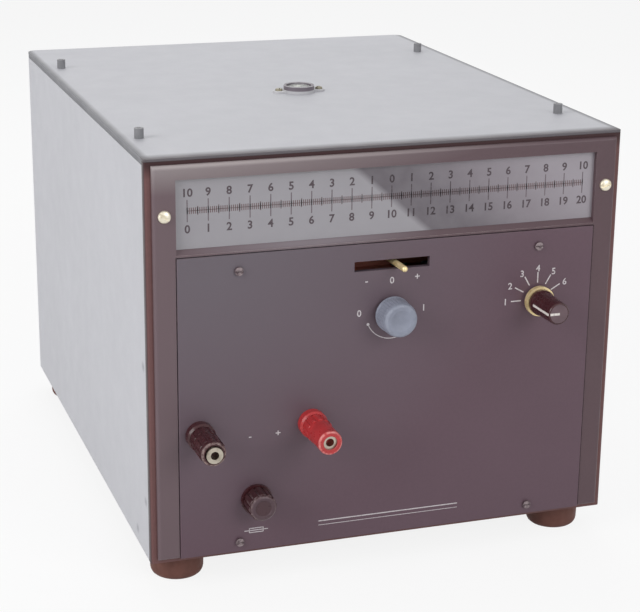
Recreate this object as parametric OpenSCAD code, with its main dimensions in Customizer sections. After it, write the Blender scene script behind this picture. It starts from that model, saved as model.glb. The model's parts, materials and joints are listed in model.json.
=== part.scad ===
// Light-spot ballistic galvanometer in a sheet-metal cabinet.
// Millimetres, +Z up, front towards -Y, origin on the floor under the middle of the whole instrument.

/* [Cabinet] */
// Width over the side panels
body_w = 240; // [220:1:300]
// Depth from the front frame to the rear panel
body_d = 305; // [280:1:360]
// Height from the underside of the base to the top of the lid
body_h = 200; // [190:1:240]
// Thickness of the lid and the side panels
sheet_t = 1.5; // [1:0.1:2.5]
// Thickness of the base tray, rails, rear panel and flanges
frame_t = 2; // [1.5:0.1:3]
// Depth of the front ring that shows before the side panels
ring_d = 4; // [3.5:0.25:6]
// Depth of the flanges that the side panels are screwed to
flange_d = 12; // [9:1:18]
// Height of the folded edges of the base tray
tray_h = 14; // [12:1:20]
// Width of the rails under the lid
rail_w = 18; // [16:1:22]
// Rounding of the upright corners at the front
corner_r = 1.4; // [0.5:0.1:1.5]
// Rounding of the upright corners at the back
rear_r = 5; // [3:0.5:8]
// Depth of the rear panel's sides
rear_side = 12; // [10:0.5:16]

/* [Feet] */
// Diameter of a rubber foot
foot_d = 27; // [20:1:34]
// Height of a rubber foot
foot_h = 14.5; // [9:0.5:20]
// Inset of a foot's centre from the side
foot_in_x = 17.5; // [16:0.5:26]
// Inset of a foot's centre from the front and the back
foot_in_y = 20; // [18:0.5:40]

/* [Front] */
// Ring that shows left and right of the bezel
rim_w = 3.2; // [2:0.1:5]
// Ring that shows above the bezel
rim_top = 1.7; // [1:0.1:3]
// Ring that shows below the bezel
rim_bottom = 2.2; // [1:0.1:4]
// Thickness of the bezel
bezel_t = 2.5; // [2:0.1:4]
// Rounding of the bezel's outer edge
bezel_r = 1.5; // [0.5:0.1:1.8]
// Width of the bezel's side strips
strip_w = 10.8; // [9:0.2:16]
// Drop of the window's top edge from the top of the cabinet
window_drop = 10; // [9:0.5:14]
// Height of the scale window
window_h = 33.4; // [26:0.2:40]
// Bar of the bezel between window and control panel
sill_h = 3.2; // [2.5:0.1:5]
// Thickness of the translucent scale plate
pane_t = 3; // [2:0.1:3.2]
// Lap of the scale plate behind the bezel
pane_lap = 2; // [1.5:0.1:3]
// Thickness of the control panel
panel_t = 3; // [2.2:0.1:4]
// Seam round the control panel
seam = 0.4; // [0.2:0.1:1]

/* [Control layout] */
// Length of the zero slot
slot_w = 38.5; // [30:0.5:50]
// Height of the zero slot
slot_h = 5; // [4.4:0.1:7]
// Drop of the slot below the panel's top edge
slot_drop = 11; // [9:0.5:12]
// Drop of the knob axes below the slot
knob_drop = 24.5; // [22:0.5:30]
// Inset of the selector from the panel's right edge
selector_in = 29; // [26:0.5:40]
// Inset of the black terminal from the panel's left edge
post_in = 10; // [9.5:0.5:16]
// Distance between the terminals
post_pitch = 56; // [50:0.5:60]
// Height of the terminals
post_z = 65.5; // [50:0.5:80]
// Height of the fuse
fuse_z = 29; // [24:0.5:36]
// Inset of the panel screws from the panel's sides
screw_in = 29.5; // [24:0.5:40]
// Drop of the upper panel screws below the panel's top edge
screw_top = 8; // [6:0.5:9]
// Rise of the lower panel screws above the panel's bottom edge
screw_bottom = 5.2; // [4:0.2:7]

/* [Knobs] */
// Diameter of both control shafts
shaft_d = 6; // [5:0.1:6.5]
// Diameter of the lock knob
lock_knob_d = 18; // [16:0.5:24]
// Length of the lock knob
lock_knob_l = 12; // [9:0.5:18]
// Diameter of the selector knob
selector_knob_d = 13; // [11:0.5:18]
// Length of the selector knob
selector_knob_l = 21; // [15:0.5:25]
// Outer diameter of the brass ring under the selector knob
selector_ring_d = 15; // [13.5:0.5:20]
// Length of the brass ring
selector_ring_l = 2.5; // [1.5:0.1:4]

/* [Terminals and fuse] */
// Diameter of the terminal caps
cap_d = 13; // [12.2:0.1:16]
// Length of a terminal's insulating collar
collar_l = 5; // [3:0.5:8]
// Reach of the terminal studs in front of the panel
stud_reach = 27.4; // [25:0.2:34]
// Diameter of the stud's thread
stud_d = 6; // [5.4:0.1:6.4]
// Diameter of the plug socket
socket_d = 4; // [3.5:0.1:4.2]
// Depth of the plug socket
socket_l = 18; // [14:0.5:20]
// Black stud's end in front of its cap
black_proud = 1.4; // [0.6:0.1:2]
// Red cap's edge in front of its stud
red_sunk = 1.2; // [0.6:0.1:2]
// Diameter of the fuse cap
fuse_cap_d = 14; // [13:0.2:17]
// Length of the fuse cap
fuse_cap_l = 11; // [8:0.5:16]
// Diameter of the fuse link
fuse_d = 6.3; // [5:0.1:6.5]
// Length of the fuse link
fuse_l = 32; // [20:1:34]

/* [Lid fittings] */
// Inset of the left lid screws from the left side
lid_screw_left_in = 8.5; // [7:0.5:11]
// Inset of the right lid screws from the right side
lid_screw_right_in = 13; // [7:0.5:13.5]
// Front lid screws from the front
lid_screw_front = 45; // [30:1:70]
// Rear lid screws from the back
lid_screw_back = 65; // [30:1:80]
// Distance of the spirit level from the front
level_y = 136; // [100:1:200]
// Distance of the spirit level from the middle, to the left
level_left = 2.5; // [0:0.5:8]
// Diameter of the spirit level's housing
level_d = 16.5; // [14:0.5:17]
// Height of the spirit level's housing
level_h = 3.8; // [3.5:0.1:8]
// Distance between the spirit level's screws
level_pitch = 22.5; // [22:0.5:30]

/* [Movement] */
// Suspension axis behind the front plane
pivot_y = 62; // [60:0.5:80]
// Diameter of the zero lever
lever_d = 3; // [2:0.1:3.4]
// Reach of the zero lever in front of the panel
lever_out = 11; // [6:0.5:20]
// Angle at which the zero lever rests, to the right of the slot's middle
lever_rest = 2; // [-6:0.5:6]
// Diameter of the torsion head's disc
head_d = 34; // [30:1:38]
// Outer width of the coil
coil_w = 29; // [26:0.5:30]
// Outer height of the coil
coil_h = 40; // [36:0.5:42]
// Section of the coil's winding
coil_t = 3; // [2:0.1:3.4]
// Diameter of the iron core
core_d = 18; // [14:0.5:19]
// Air gap between coil and pole pieces
pole_gap = 2; // [1.6:0.1:3]
// Height of the magnet yoke
yoke_h = 34; // [30:0.5:36]
// Lift of the clamp from the middle of its travel
clamp_lift = 2; // [1:0.1:2.5]

/* [Optics] */
// Diameter of the coil's mirror
mirror_d = 10; // [7:0.5:12]
// Width of the rear mirror
rear_mirror_w = 112; // [90:1:130]
// Height of the rear mirror
rear_mirror_h = 40; // [30:1:44]
// Diameter of the lamp house
lamp_d = 34; // [30:0.5:36]
// Length of the lamp house
lamp_l = 50; // [44:1:60]
// Diameter of the condenser lens
lens_d = 20; // [14:0.5:22]

/* [Hidden] */
$fn = 48;
// clearances: running fit, loose hole, gap between moving faces
run = 0.05;
loose = 0.15;
gap = 0.3;
// round fasteners
small_screw_d = 2.5;
small_head_d = 4.2;
small_head_h = 1.4;
cap_screw_d = 3;
cap_head_d = 4.6;
cap_head_h = 5;
brass_screw_d = 3;
brass_head_d = 6;
brass_head_h = 2;
level_screw_d = 2;
level_head_d = 4;
level_head_h = 1.3;
foot_screw_d = 4;
drill_out = 10;
drill_in = 20;
side_nut_d = 5.8;
side_nut_l = 2;
side_stud_l = frame_t + side_nut_l + 1;

// cabinet levels and half widths, measured from the base's underside and the front plane
half_w = body_w / 2;
inner_hw = half_w - sheet_t;
ring_h = body_h - sheet_t;
rail_z = ring_h - frame_t;
back_y = body_d - frame_t;
tray_d = back_y - ring_d;
side_y = body_d - rear_side;
bend_y = body_d - rear_r;
bend_hw = half_w - rear_r;
rail_edge = 0.3;
rail_fold = 12;

// front openings
bezel_hw = half_w - rim_w;
bezel_z0 = rim_bottom;
bezel_z1 = ring_h - rim_top;
panel_hw = bezel_hw - strip_w;
window_z1 = body_h - window_drop;
window_z0 = window_z1 - window_h;
window_mid = (window_z0 + window_z1) / 2;
panel_z0 = bezel_z0;
panel_z1 = window_z0 - sill_h - seam;
bar_z0 = window_z0 - sill_h;
control_edge = 2;
control_hw = panel_hw - control_edge;
control_z0 = panel_z0 + 2 * screw_bottom + 1;
control_z1 = panel_z1 - 2 * screw_top + 2.5;
notch_z1 = panel_z1 - slot_drop + slot_h;
notch_hw = slot_w / 2 + 5;

// control positions
slot_z = panel_z1 - slot_drop;
knob_z = slot_z - knob_drop;
selector_x = panel_hw - selector_in;
black_x = -panel_hw + post_in;
red_x = black_x + post_pitch;
fuse_x = (black_x + red_x) / 2;
panel_screws_xz = [for (x = [-1, 1]) for (z = [panel_z0 + screw_bottom, panel_z1 - screw_top])
    [x * (panel_hw - screw_in), z]];
side_screw_end = 29;
side_screw_in = 5;
side_screw_low = 33;
side_screws_yz = concat(
    [for (y = [ring_d + side_screw_in, side_y - side_screw_in]) for (t = [0, 0.5, 1])
        [y, side_screw_end + t * (rail_z - 2 * side_screw_end)]],
    [for (y = [side_screw_low, body_d / 2, body_d - side_screw_low]) [y, tray_h / 2]]);
lid_screws_xy = [for (x = [-half_w + lid_screw_left_in, half_w - lid_screw_right_in])
    for (y = [lid_screw_front, body_d - lid_screw_back]) [x, y]];
brass_x = bezel_hw - strip_w / 2;
level_screws_x = level_pitch / 2;
level_ear_t = 1.2;
level_ear_w = 6;
level_floor = 1.2;
vial_d = level_d - 3;
vial_sink = level_h - level_floor;
feet_xy = [for (x = [-1, 1]) for (y = [foot_in_y, body_d - foot_in_y]) [x * (half_w - foot_in_x), y]];

// bushes and knobs, distances in front of the panel's face are positive in "out"
bush_d = shaft_d + 3.6;
bush_flange_d = bush_d + 3.4;
bush_flange_l = 1.5;
bush_l = 6;
nut_l = 3;
nut_d = bush_d + 5;
knob_out = panel_t + bush_flange_l + 0.5;
knob_bore = lock_knob_l - 3;
selector_bore = selector_knob_l - 4;
selector_y = knob_out + selector_ring_l;

// lock cam and clamp slide
cam_mid = 6;
cam_t = 4;
slide_gap = 0.5;
guide_y = 26;
guide_t = 2;
slide_y = guide_y - gap - cam_t;
slide_hw = 19.8;
guide_lip = 4;
cam_window_hw = 11;
cam_window_drop = 12;
slide_top = 5;

// terminals
neck_d = stud_d + 3.6;
washer_l = 2.5;
washer_d = cap_d + 1;
stud_tail_d = stud_d - 1;
stud_tail_l = 14;
stud_ring_d = stud_d + 2;
stud_ring_l = 3;
insert_d = stud_d + 3;
insert_l = 10;
cap_recess_d = insert_d + 1.4;
cap_recess_l = 8;
cap_y = panel_t + collar_l + gap;
stud_tip = panel_t + stud_reach;
flutes = 12;
flute_d = 2;

// fuse
fuse_bore = fuse_d + 1.7;
fuse_body_d = fuse_bore + 4;
fuse_flange_d = fuse_cap_d + 1.5;
fuse_flange_l = 1.5;
fuse_cap_y = panel_t + fuse_flange_l + gap;
fuse_floor = 2;

// whole instrument: the origin lies under the middle of its length
inlet_flange_t = 2.5;
front_reach = max(stud_tip + red_sunk, knob_out + selector_knob_l + selector_ring_l, panel_t + lever_out);
cabinet_y = (front_reach - body_d - inlet_flange_t) / 2;

// movement levels, from the slot downwards
disc_t = 7;
bridge_t = 7;
bridge_z1 = slot_z - disc_t / 2 - gap;
bridge_z0 = bridge_z1 - bridge_t;
spindle_d = 12;
head_bore = 5;
head_tube_d = 10;
head_tube_up = 12;
head_tube_z1 = slot_z + head_tube_up;
head_roof = 2;
lever_seat = 9;
collar_t = 3;
mirror_drop = 12;
mirror_z = bridge_z0 - mirror_drop;
magnet_drop = 47;
magnet_z = mirror_z - magnet_drop;
coil_z0 = magnet_z - coil_h / 2;
coil_z1 = magnet_z + coil_h / 2;
coil_depth = 5;
boss_d = 6;
boss_l = 3;
stem_d = 3;
stem_z1 = mirror_z + mirror_d / 2 + 2;
ribbon_d = 0.8;
shelf_t = 4;
shelf_z1 = magnet_z - yoke_h / 2;
shelf_z0 = shelf_z1 - shelf_t;
casting_t = 6;
casting_z1 = frame_t + casting_t;
anchor_h = 12;
plate_hw = 52;
plate_hd = 30;
casting_hw = 56;
casting_hd = 32;
pillar_x = 46;
pillar_y = 22;
low_pillar_d = 10;
pillar_d = 8;
pole_r = coil_w / 2 + pole_gap;
pole_x = 24;
pole_hd = 14;
magnet_t = 8;
magnet_hd = 12;
yoke_t = 6;
yoke_hw = pole_x + magnet_t + yoke_t;
yoke_hd = 24;
strap_t = 2;
core_l = coil_h - 2 * coil_t - 6;
pad_t = 1.4;
pad_z1 = coil_z0 - boss_l - gap - clamp_lift;
tongue_t = 3;
tongue_hw = 8;

// optics: the spot rises at one slope from the lamp over both mirrors to the scale
rear_mirror_t = 3;
rear_mirror_in = 17;
rear_mirror_y = back_y - rear_mirror_in;
beam_slope = (window_mid - mirror_z) / (2 * rear_mirror_y - pivot_y);
beam_angle = atan(beam_slope);
rear_mirror_z = mirror_z + (rear_mirror_y - pivot_y) * beam_slope;
lamp_in = 26;
lamp_y = rear_mirror_y - lamp_l - lamp_in;
lamp_z = mirror_z - (lamp_y - pivot_y) * beam_slope;
lamp_wall = 2;
lens_tube_l = 22;
lens_tube_d = lens_d + 4;
lens_t = 5;
bulb_d = 15;
holder_d = 12;
holder_l = 16;
stand_hw = 12;
stand_foot = 3;
bracket_hw = 30;
bracket_hh = 12;
standoff_d = 8;

// supply
core_w = 54;
core_h = 45;
core_stack = 22;
limb = 9;
transformer_in = 50;
transformer_back = 70;
transformer_x = -half_w + transformer_in;
transformer_y = back_y - transformer_back;
inlet_in = 45;
inlet_x = half_w - inlet_in;
inlet_z = 36;
inlet_w = 27;
inlet_h = 20;
inlet_l = 22;
inlet_flange = 4.5;
vent_w = 62;
vent_h = 3;
vent_pitch = 9;
vents = 6;

// switch
index_d = 32;
index_y = 3.5;
index_l = 8;
wafer_d = 34;
wafer_t = 1.6;
wafer_y = [20, 32];
rotor_d = 14;
tie_d = 2.5;
tie_x = 14;
resistor_d = 4;
resistor_ring = 13.5;

// places children in cabinet coordinates: y from the front plane, z from the base's underside
module cabinet() {
    translate([0, cabinet_y, foot_h])
        children();
}

// places children on the suspension axis
module on_pivot() {
    cabinet()
        translate([0, pivot_y, 0])
            children();
}

// places children on the beam at depth y, tilted along it
module on_beam(y) {
    cabinet()
        translate([0, y, mirror_z - (y - pivot_y) * beam_slope])
            rotate([-beam_angle, 0, 0])
                children();
}

// round bar along Y between two depths
module rod(d, y0, y1) {
    translate([0, y0, 0])
        rotate([-90, 0, 0])
            cylinder(d = d, h = y1 - y0);
}

// round bar along X between two places
module bar_x(d, x0, x1) {
    translate([x0, 0, 0])
        rotate([0, 90, 0])
            cylinder(d = d, h = x1 - x0);
}

// solid of revolution about Y, outline given as [radius, distance out of the front plane]
module turned(outline) {
    rotate([90, 0, 0])
        rotate_extrude()
            polygon(outline);
}

// rectangle from y = 0 to d whose two corners at y = 0 are round
module round_front(w, d, r) {
    translate([-w / 2, r])
        square([w, d - r]);
    translate([r - w / 2, 0])
        square([w - 2 * r, d]);
    for (x = [-1, 1])
        translate([x * (w / 2 - r), r])
            intersection() {
                circle(r);
                translate([-r, -r])
                    square([2 * r, r]);
            }
}

// rectangle from y = 0 to -d whose two corners at y = 0 are round
module round_back(w, d, r) {
    mirror([0, 1])
        round_front(w, d, r);
}

// screw with a slotted cheese head, head above z = 0
module slotted_screw(d, l, head_d, head_h) {
    difference() {
        union() {
            translate([0, 0, -l])
                cylinder(d = d, h = l + head_h / 2);
            cylinder(d = head_d, h = head_h);
        }
        translate([-head_d, -head_d / 12, head_h * 0.55])
            cube([2 * head_d, head_d / 6, head_h]);
    }
}

// cylinder along Z with a ring of round flutes
module fluted(d, h) {
    difference() {
        cylinder(d = d, h = h);
        for (i = [0:flutes - 1])
            rotate([0, 0, i * 360 / flutes])
                translate([d / 2 + flute_d * 0.2, 0, -1])
                    cylinder(d = flute_d, h = h + 2, $fn = 24);
    }
}

// holes shared by the pieces that a row of screws joins
module side_holes(d) {
    for (p = side_screws_yz)
        translate([0, p[0], p[1]])
            bar_x(d, -body_w, body_w);
}

module panel_holes(d) {
    for (p = panel_screws_xz)
        translate([p[0], 0, p[1]])
            rod(d, -drill_out, drill_in);
}

module bezel_holes(d) {
    for (s = [-1, 1])
        translate([s * brass_x, 0, window_mid])
            rod(d, -drill_out, drill_in);
}

module lid_holes(d) {
    for (p = lid_screws_xy)
        translate([p[0], p[1], rail_z - drill_out])
            cylinder(d = d, h = drill_out + drill_in);
}

module foot_holes(d) {
    for (p = feet_xy)
        translate([p[0], p[1], -foot_h - 1])
            cylinder(d = d, h = foot_h + drill_in);
}

// Cabinet

module base_tray() {
    color("#4a3a36")
        cabinet()
            difference() {
                union() {
                    translate([-inner_hw, ring_d, 0])
                        cube([2 * inner_hw, side_y - ring_d, frame_t]);
                    translate([-bend_hw, ring_d, 0])
                        cube([2 * bend_hw, tray_d, frame_t]);
                    for (s = [-1, 1])
                        translate([s * (inner_hw - frame_t / 2) - frame_t / 2, ring_d, 0])
                            cube([frame_t, side_y - ring_d, tray_h]);
                }
                foot_holes(foot_screw_d + 2 * loose);
                side_holes(small_screw_d + 2 * loose);
            }
}

module corner_flanges(y, d) {
    for (s = [-1, 1])
        translate([s * (inner_hw - frame_t / 2) - frame_t / 2, y, tray_h + gap])
            cube([frame_t, d, rail_z - tray_h - gap]);
}

module front_frame() {
    pane_hw = panel_hw + pane_lap + loose;
    pane_z0 = window_z0 - pane_lap - loose;
    color("#3a2a28")
        cabinet()
            difference() {
                union() {
                    linear_extrude(height = ring_h)
                        round_front(body_w, ring_d, corner_r);
                    corner_flanges(ring_d, flange_d);
                }
                translate([-pane_hw, -1, pane_z0])
                    cube([2 * pane_hw, pane_t + 1, window_h + 2 * pane_lap + 2 * loose]);
                translate([-panel_hw, -1, window_z0])
                    cube([2 * panel_hw, ring_d + 2, window_h]);
                translate([-control_hw, -1, control_z0])
                    cube([2 * control_hw, ring_d + 2, control_z1 - control_z0]);
                translate([-notch_hw, -1, control_z1 - 1])
                    cube([2 * notch_hw, ring_d + 2, notch_z1 - control_z1 + 1]);
                panel_holes(small_screw_d + 2 * loose);
                bezel_holes(brass_screw_d + 2 * loose);
                side_holes(small_screw_d + 2 * loose);
            }
}

// pan whose bent sides carry flanges behind the side panels
module rear_panel() {
    inner_r = rear_r - frame_t;
    wall_x = half_w - frame_t;
    color("#c9cac8")
        cabinet()
            difference() {
                union() {
                    difference() {
                        translate([0, body_d, 0])
                            linear_extrude(height = ring_h)
                                round_back(body_w, rear_side, rear_r);
                        translate([0, back_y, -1])
                            linear_extrude(height = ring_h + 2)
                                round_back(2 * wall_x, rear_side, inner_r);
                        for (s = [-1, 1])
                            translate([s * half_w - frame_t - 1, side_y - 1, rail_z])
                                cube([2 * frame_t + 2, bend_y - side_y + 1, frame_t + 1]);
                    }
                    corner_flanges(side_y - flange_d, flange_d + bend_y - side_y);
                }
                for (i = [0:vents - 1])
                    translate([-vent_w / 2, back_y - 1, lamp_z + (i - vents) * vent_pitch])
                        cube([vent_w, frame_t + 2, vent_h]);
                translate([inlet_x - inlet_w / 2 - loose, back_y - 1, inlet_z - inlet_h / 2 - loose])
                    cube([inlet_w + 2 * loose, frame_t + 2, inlet_h + 2 * loose]);
                side_holes(small_screw_d + 2 * loose);
            }
}

module side_rails() {
    color("#3a2a28")
        cabinet()
            difference() {
                for (s = [-1, 1]) {
                    x_top = half_w - rail_edge - rail_w / 2;
                    translate([s * x_top - rail_w / 2, ring_d, rail_z])
                        cube([rail_w, bend_y - ring_d, frame_t]);
                    translate([s * (inner_hw - frame_t / 2) - frame_t / 2, ring_d + flange_d + gap,
                            rail_z - rail_fold])
                        cube([frame_t, side_y - ring_d - 2 * flange_d - 2 * gap, rail_fold + frame_t / 2]);
                }
                lid_holes(cap_screw_d + 2 * loose);
            }
}

module lid() {
    color("#c9cac8")
        cabinet()
            difference() {
                translate([0, 0, ring_h])
                    linear_extrude(height = sheet_t) {
                        round_front(body_w, body_d / 2, corner_r);
                        translate([0, body_d])
                            round_back(body_w, body_d / 2 + 1, rear_r);
                    }
                lid_holes(cap_screw_d + 2 * loose);
                for (s = [-1, 1])
                    translate([s * level_screws_x - level_left, level_y, ring_h - 1])
                        cylinder(d = level_screw_d + 2 * loose, h = sheet_t + 2);
            }
}

// sheet with welded studs inside, which the nuts behind the flanges hold
module side_panel(s) {
    color("#c9cac8")
        cabinet() {
            translate([s * (half_w - sheet_t / 2) - sheet_t / 2, ring_d, 0])
                cube([sheet_t, side_y - ring_d, rail_z]);
            for (p = side_screws_yz)
                translate([s * half_w, p[0], p[1]])
                    rotate([0, -s * 90, 0])
                        translate([0, 0, sheet_t / 2])
                            cylinder(d = small_screw_d, h = sheet_t / 2 + side_stud_l);
        }
}

module left_side_panel() {
    side_panel(-1);
}

module right_side_panel() {
    side_panel(1);
}

module lid_screws() {
    socket = cap_screw_d - 0.5;
    color("#2c2b2d")
        cabinet()
            for (p = lid_screws_xy)
                translate([p[0], p[1], body_h])
                    difference() {
                        union() {
                            cylinder(d = cap_head_d, h = cap_head_h);
                            translate([0, 0, -sheet_t - frame_t - 2])
                                cylinder(d = cap_screw_d, h = sheet_t + frame_t + 3);
                        }
                        translate([0, 0, cap_head_h - 2])
                            cylinder(d = socket, h = 3, $fn = 6);
                    }
}

// nuts on the side panels' studs and the screws of the control panel
module small_screws() {
    panel_l = panel_t + ring_d + 2;
    color("#6b6462")
        cabinet() {
            for (p = side_screws_yz)
                for (s = [-1, 1])
                    translate([s * (inner_hw - frame_t), p[0], p[1]])
                        rotate([0, -s * 90, 0])
                            difference() {
                                cylinder(d = side_nut_d, h = side_nut_l, $fn = 6);
                                translate([0, 0, -1])
                                    cylinder(d = small_screw_d + 2 * run, h = side_nut_l + 2);
                            }
            for (p = panel_screws_xz)
                translate([p[0], -panel_t, p[1]])
                    rotate([90, 0, 0])
                        slotted_screw(small_screw_d, panel_l, small_head_d, small_head_h);
        }
}

module feet() {
    head_room = 2 * foot_screw_d + 1;
    color("#33231f")
        cabinet()
            for (p = feet_xy)
                translate([p[0], p[1], -foot_h])
                    difference() {
                        rotate_extrude()
                            polygon([[0, 0], [foot_d / 2 - 1.5, 0], [foot_d / 2, 1.5], [foot_d / 2, foot_h],
                                [0, foot_h]]);
                        translate([0, 0, -1])
                            cylinder(d = head_room, h = foot_h / 2 + 1);
                        translate([0, 0, -1])
                            cylinder(d = foot_screw_d + 2 * loose, h = foot_h + 2);
                    }
}

module foot_screws() {
    head_h = foot_screw_d / 2;
    nut = foot_screw_d * 0.8;
    shank = foot_h / 2 + frame_t + nut + 1;
    color("#8d8a84")
        cabinet()
            for (p = feet_xy) {
                translate([p[0], p[1], -foot_h / 2])
                    rotate([180, 0, 0])
                        slotted_screw(foot_screw_d, shank, 2 * foot_screw_d - 1, head_h);
                translate([p[0], p[1], frame_t])
                    difference() {
                        cylinder(d = foot_screw_d * 2, h = nut, $fn = 6);
                        translate([0, 0, -1])
                            cylinder(d = foot_screw_d + 2 * run, h = nut + 2);
                    }
            }
}

// Front

module bezel() {
    seam_hw = panel_hw + seam;
    color("#564448")
        cabinet()
            difference() {
                intersection() {
                    translate([0, -bezel_t, bezel_z0])
                        linear_extrude(height = bezel_z1 - bezel_z0)
                            round_front(2 * bezel_hw, bezel_t, bezel_r);
                    translate([-bezel_hw, -bezel_t, (bezel_z0 + bezel_z1) / 2])
                        rotate([90, 0, 90])
                            linear_extrude(height = 2 * bezel_hw)
                                rotate(-90)
                                    round_front(bezel_z1 - bezel_z0, bezel_t, bezel_r);
                }
                translate([-panel_hw, -bezel_t - 1, window_z0])
                    cube([2 * panel_hw, bezel_t + 2, window_h]);
                translate([-panel_hw, -bezel_t, window_z0])
                    rotate([45, 0, 0])
                        translate([0, -sill_h / 2, -sill_h / 2])
                            cube([2 * panel_hw, sill_h, sill_h]);
                translate([-seam_hw, -bezel_t - 1, bezel_z0 - 1])
                    cube([2 * seam_hw, bezel_t + 2, bar_z0 - bezel_z0 + 1]);
                bezel_holes(brass_screw_d + 2 * loose);
            }
}

module scale_plate() {
    color("#aab2b8")
        cabinet()
            translate([-panel_hw - pane_lap, 0, window_z0 - pane_lap])
                cube([2 * (panel_hw + pane_lap), pane_t, window_h + 2 * pane_lap]);
}

module control_panel() {
    color("#574a50")
        cabinet()
            difference() {
                translate([-panel_hw, -panel_t, panel_z0])
                    cube([2 * panel_hw, panel_t, panel_z1 - panel_z0]);
                translate([-slot_w / 2, -panel_t - 1, slot_z - slot_h / 2])
                    cube([slot_w, panel_t + 2, slot_h]);
                for (x = [0, selector_x])
                    translate([x, 0, knob_z])
                        rod(bush_d + 2 * loose, -panel_t - 1, 1);
                for (x = [black_x, red_x])
                    translate([x, 0, post_z])
                        rod(neck_d + 2 * loose, -panel_t - 1, 1);
                translate([fuse_x, 0, fuse_z])
                    rod(fuse_body_d + 2 * loose, -panel_t - 1, 1);
                panel_holes(small_screw_d + 2 * loose);
            }
}

module brass_screws() {
    color("#c9a860")
        cabinet() {
            for (s = [-1, 1])
                translate([s * brass_x, -bezel_t, window_mid])
                    rotate([90, 0, 0])
                        slotted_screw(brass_screw_d, bezel_t + ring_d + 1.5, brass_head_d, brass_head_h);
            for (s = [-1, 1])
                translate([s * level_screws_x - level_left, level_y, body_h + level_ear_t])
                    slotted_screw(level_screw_d, level_ear_t + sheet_t + 2, level_head_d, level_head_h);
        }
}

// Spirit level on the lid

module level_housing() {
    color("#c4c4c4")
        cabinet()
            translate([-level_left, level_y, body_h])
                difference() {
                    union() {
                        cylinder(d = level_d, h = level_h);
                        translate([-level_screws_x, -level_ear_w / 2, 0])
                            cube([level_pitch, level_ear_w, level_ear_t]);
                        for (s = [-1, 1])
                            translate([s * level_screws_x, 0, 0])
                                cylinder(d = level_ear_w, h = level_ear_t);
                    }
                    translate([0, 0, level_h - vial_sink])
                        cylinder(d = vial_d + 2 * loose, h = vial_sink + 1);
                    for (s = [-1, 1])
                        translate([s * level_screws_x, 0, -1])
                            cylinder(d = level_screw_d + 2 * loose, h = level_ear_t + 2);
                }
}

module level_vial() {
    dome_r = vial_d * 1.2;
    color("#5a5660")
        cabinet()
            translate([-level_left, level_y, body_h + level_h - vial_sink])
                intersection() {
                    cylinder(d = vial_d, h = vial_sink + 1);
                    translate([0, 0, vial_sink + 0.4 - dome_r])
                        sphere(dome_r, $fn = 96);
                }
}

// Lock: knob, shaft and cam turn together and raise the clamp slide

module shaft_bush() {
    difference() {
        union() {
            rod(bush_flange_d, -panel_t - bush_flange_l, -panel_t);
            rod(bush_d, -panel_t - 0.5, bush_l);
        }
        rod(shaft_d + 2 * run, -panel_t - 5, bush_l + 1);
    }
}

module lock_bush() {
    color("#a8a59c")
        cabinet()
            translate([0, 0, knob_z])
                shaft_bush();
}

// hexagon nut along Y behind the panel
module back_nut(d, bore, y0, l) {
    difference() {
        translate([0, y0, 0])
            rotate([-90, 0, 0])
                cylinder(d = d, h = l, $fn = 6);
        rod(bore, y0 - 1, y0 + l + 1);
    }
}

module panel_nuts() {
    color("#a8a59c")
        cabinet() {
            for (x = [0, selector_x])
                translate([x, 0, knob_z])
                    back_nut(nut_d, bush_d + 2 * run, 0, nut_l);
            for (x = [black_x, red_x])
                translate([x, 0, post_z])
                    back_nut(stud_tail_d + 5, stud_tail_d + 2 * run, washer_l, nut_l);
            translate([fuse_x, 0, fuse_z])
                back_nut(fuse_body_d + 5, fuse_body_d + 2 * run, 0, nut_l);
        }
}

module lock_knob() {
    r = lock_knob_d / 2;
    y1 = knob_out + lock_knob_l;
    dish_r = r * 0.55;
    dish_l = 1;
    color("#7d8490")
        cabinet()
            translate([0, 0, knob_z])
                difference() {
                    turned([[0, knob_out], [r, knob_out], [r, knob_out + 1.5], [r - 0.4, y1 - 1.4],
                        [r - 0.9, y1 - 0.5], [r - 1.8, y1], [dish_r, y1], [dish_r - 0.8, y1 - 0.7],
                        [0, y1 - dish_l]]);
                    rod(shaft_d + 2 * run, -knob_out - knob_bore, 0);
                }
}

module lock_shaft() {
    color("#b5b2aa")
        cabinet()
            translate([0, 0, knob_z])
                rod(shaft_d, -knob_out - knob_bore + gap, guide_y + guide_t + 2);
}

// radius of the heart cam grows evenly from right to left over half a turn
function cam_radius(a) = cam_mid - clamp_lift + 2 * clamp_lift * (1 - abs(a - 180) / 180);

module lock_cam() {
    step = 7.5;
    color("#c2a25c")
        cabinet()
            translate([0, slide_y + cam_t, knob_z])
                rotate([90, 0, 0])
                    difference() {
                        linear_extrude(height = cam_t)
                            polygon([for (a = [0:step:360 - step]) cam_radius(a) * [cos(a), sin(a)]]);
                        translate([0, 0, -1])
                            cylinder(d = shaft_d + 2 * run, h = cam_t + 2);
                    }
}

module clamp_slide() {
    slide_z1 = knob_z + cam_mid + slide_gap + slide_top;
    tongue_z0 = pad_z1 - pad_t - tongue_t;
    tongue_y1 = pivot_y + tongue_hw;
    color("#b9b6ad")
        cabinet()
            difference() {
                union() {
                    translate([-slide_hw, slide_y, tongue_z0])
                        cube([2 * slide_hw, cam_t, slide_z1 - tongue_z0]);
                    translate([-tongue_hw, slide_y + 1, tongue_z0])
                        cube([2 * tongue_hw, tongue_y1 - slide_y - 1, tongue_t]);
                    translate([0, pivot_y, tongue_z0])
                        cylinder(r = tongue_hw - 1, h = tongue_t + pad_t);
                }
                translate([-cam_window_hw, slide_y - 1, knob_z - cam_window_drop])
                    cube([2 * cam_window_hw, cam_t + 2, cam_window_drop + cam_mid + slide_gap]);
                translate([-boss_d / 3, pivot_y - boss_d / 3, tongue_z0 - 1])
                    cube([boss_d / 1.5, 2 * tongue_hw + boss_d, tongue_t + pad_t + 2]);
            }
}

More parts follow.
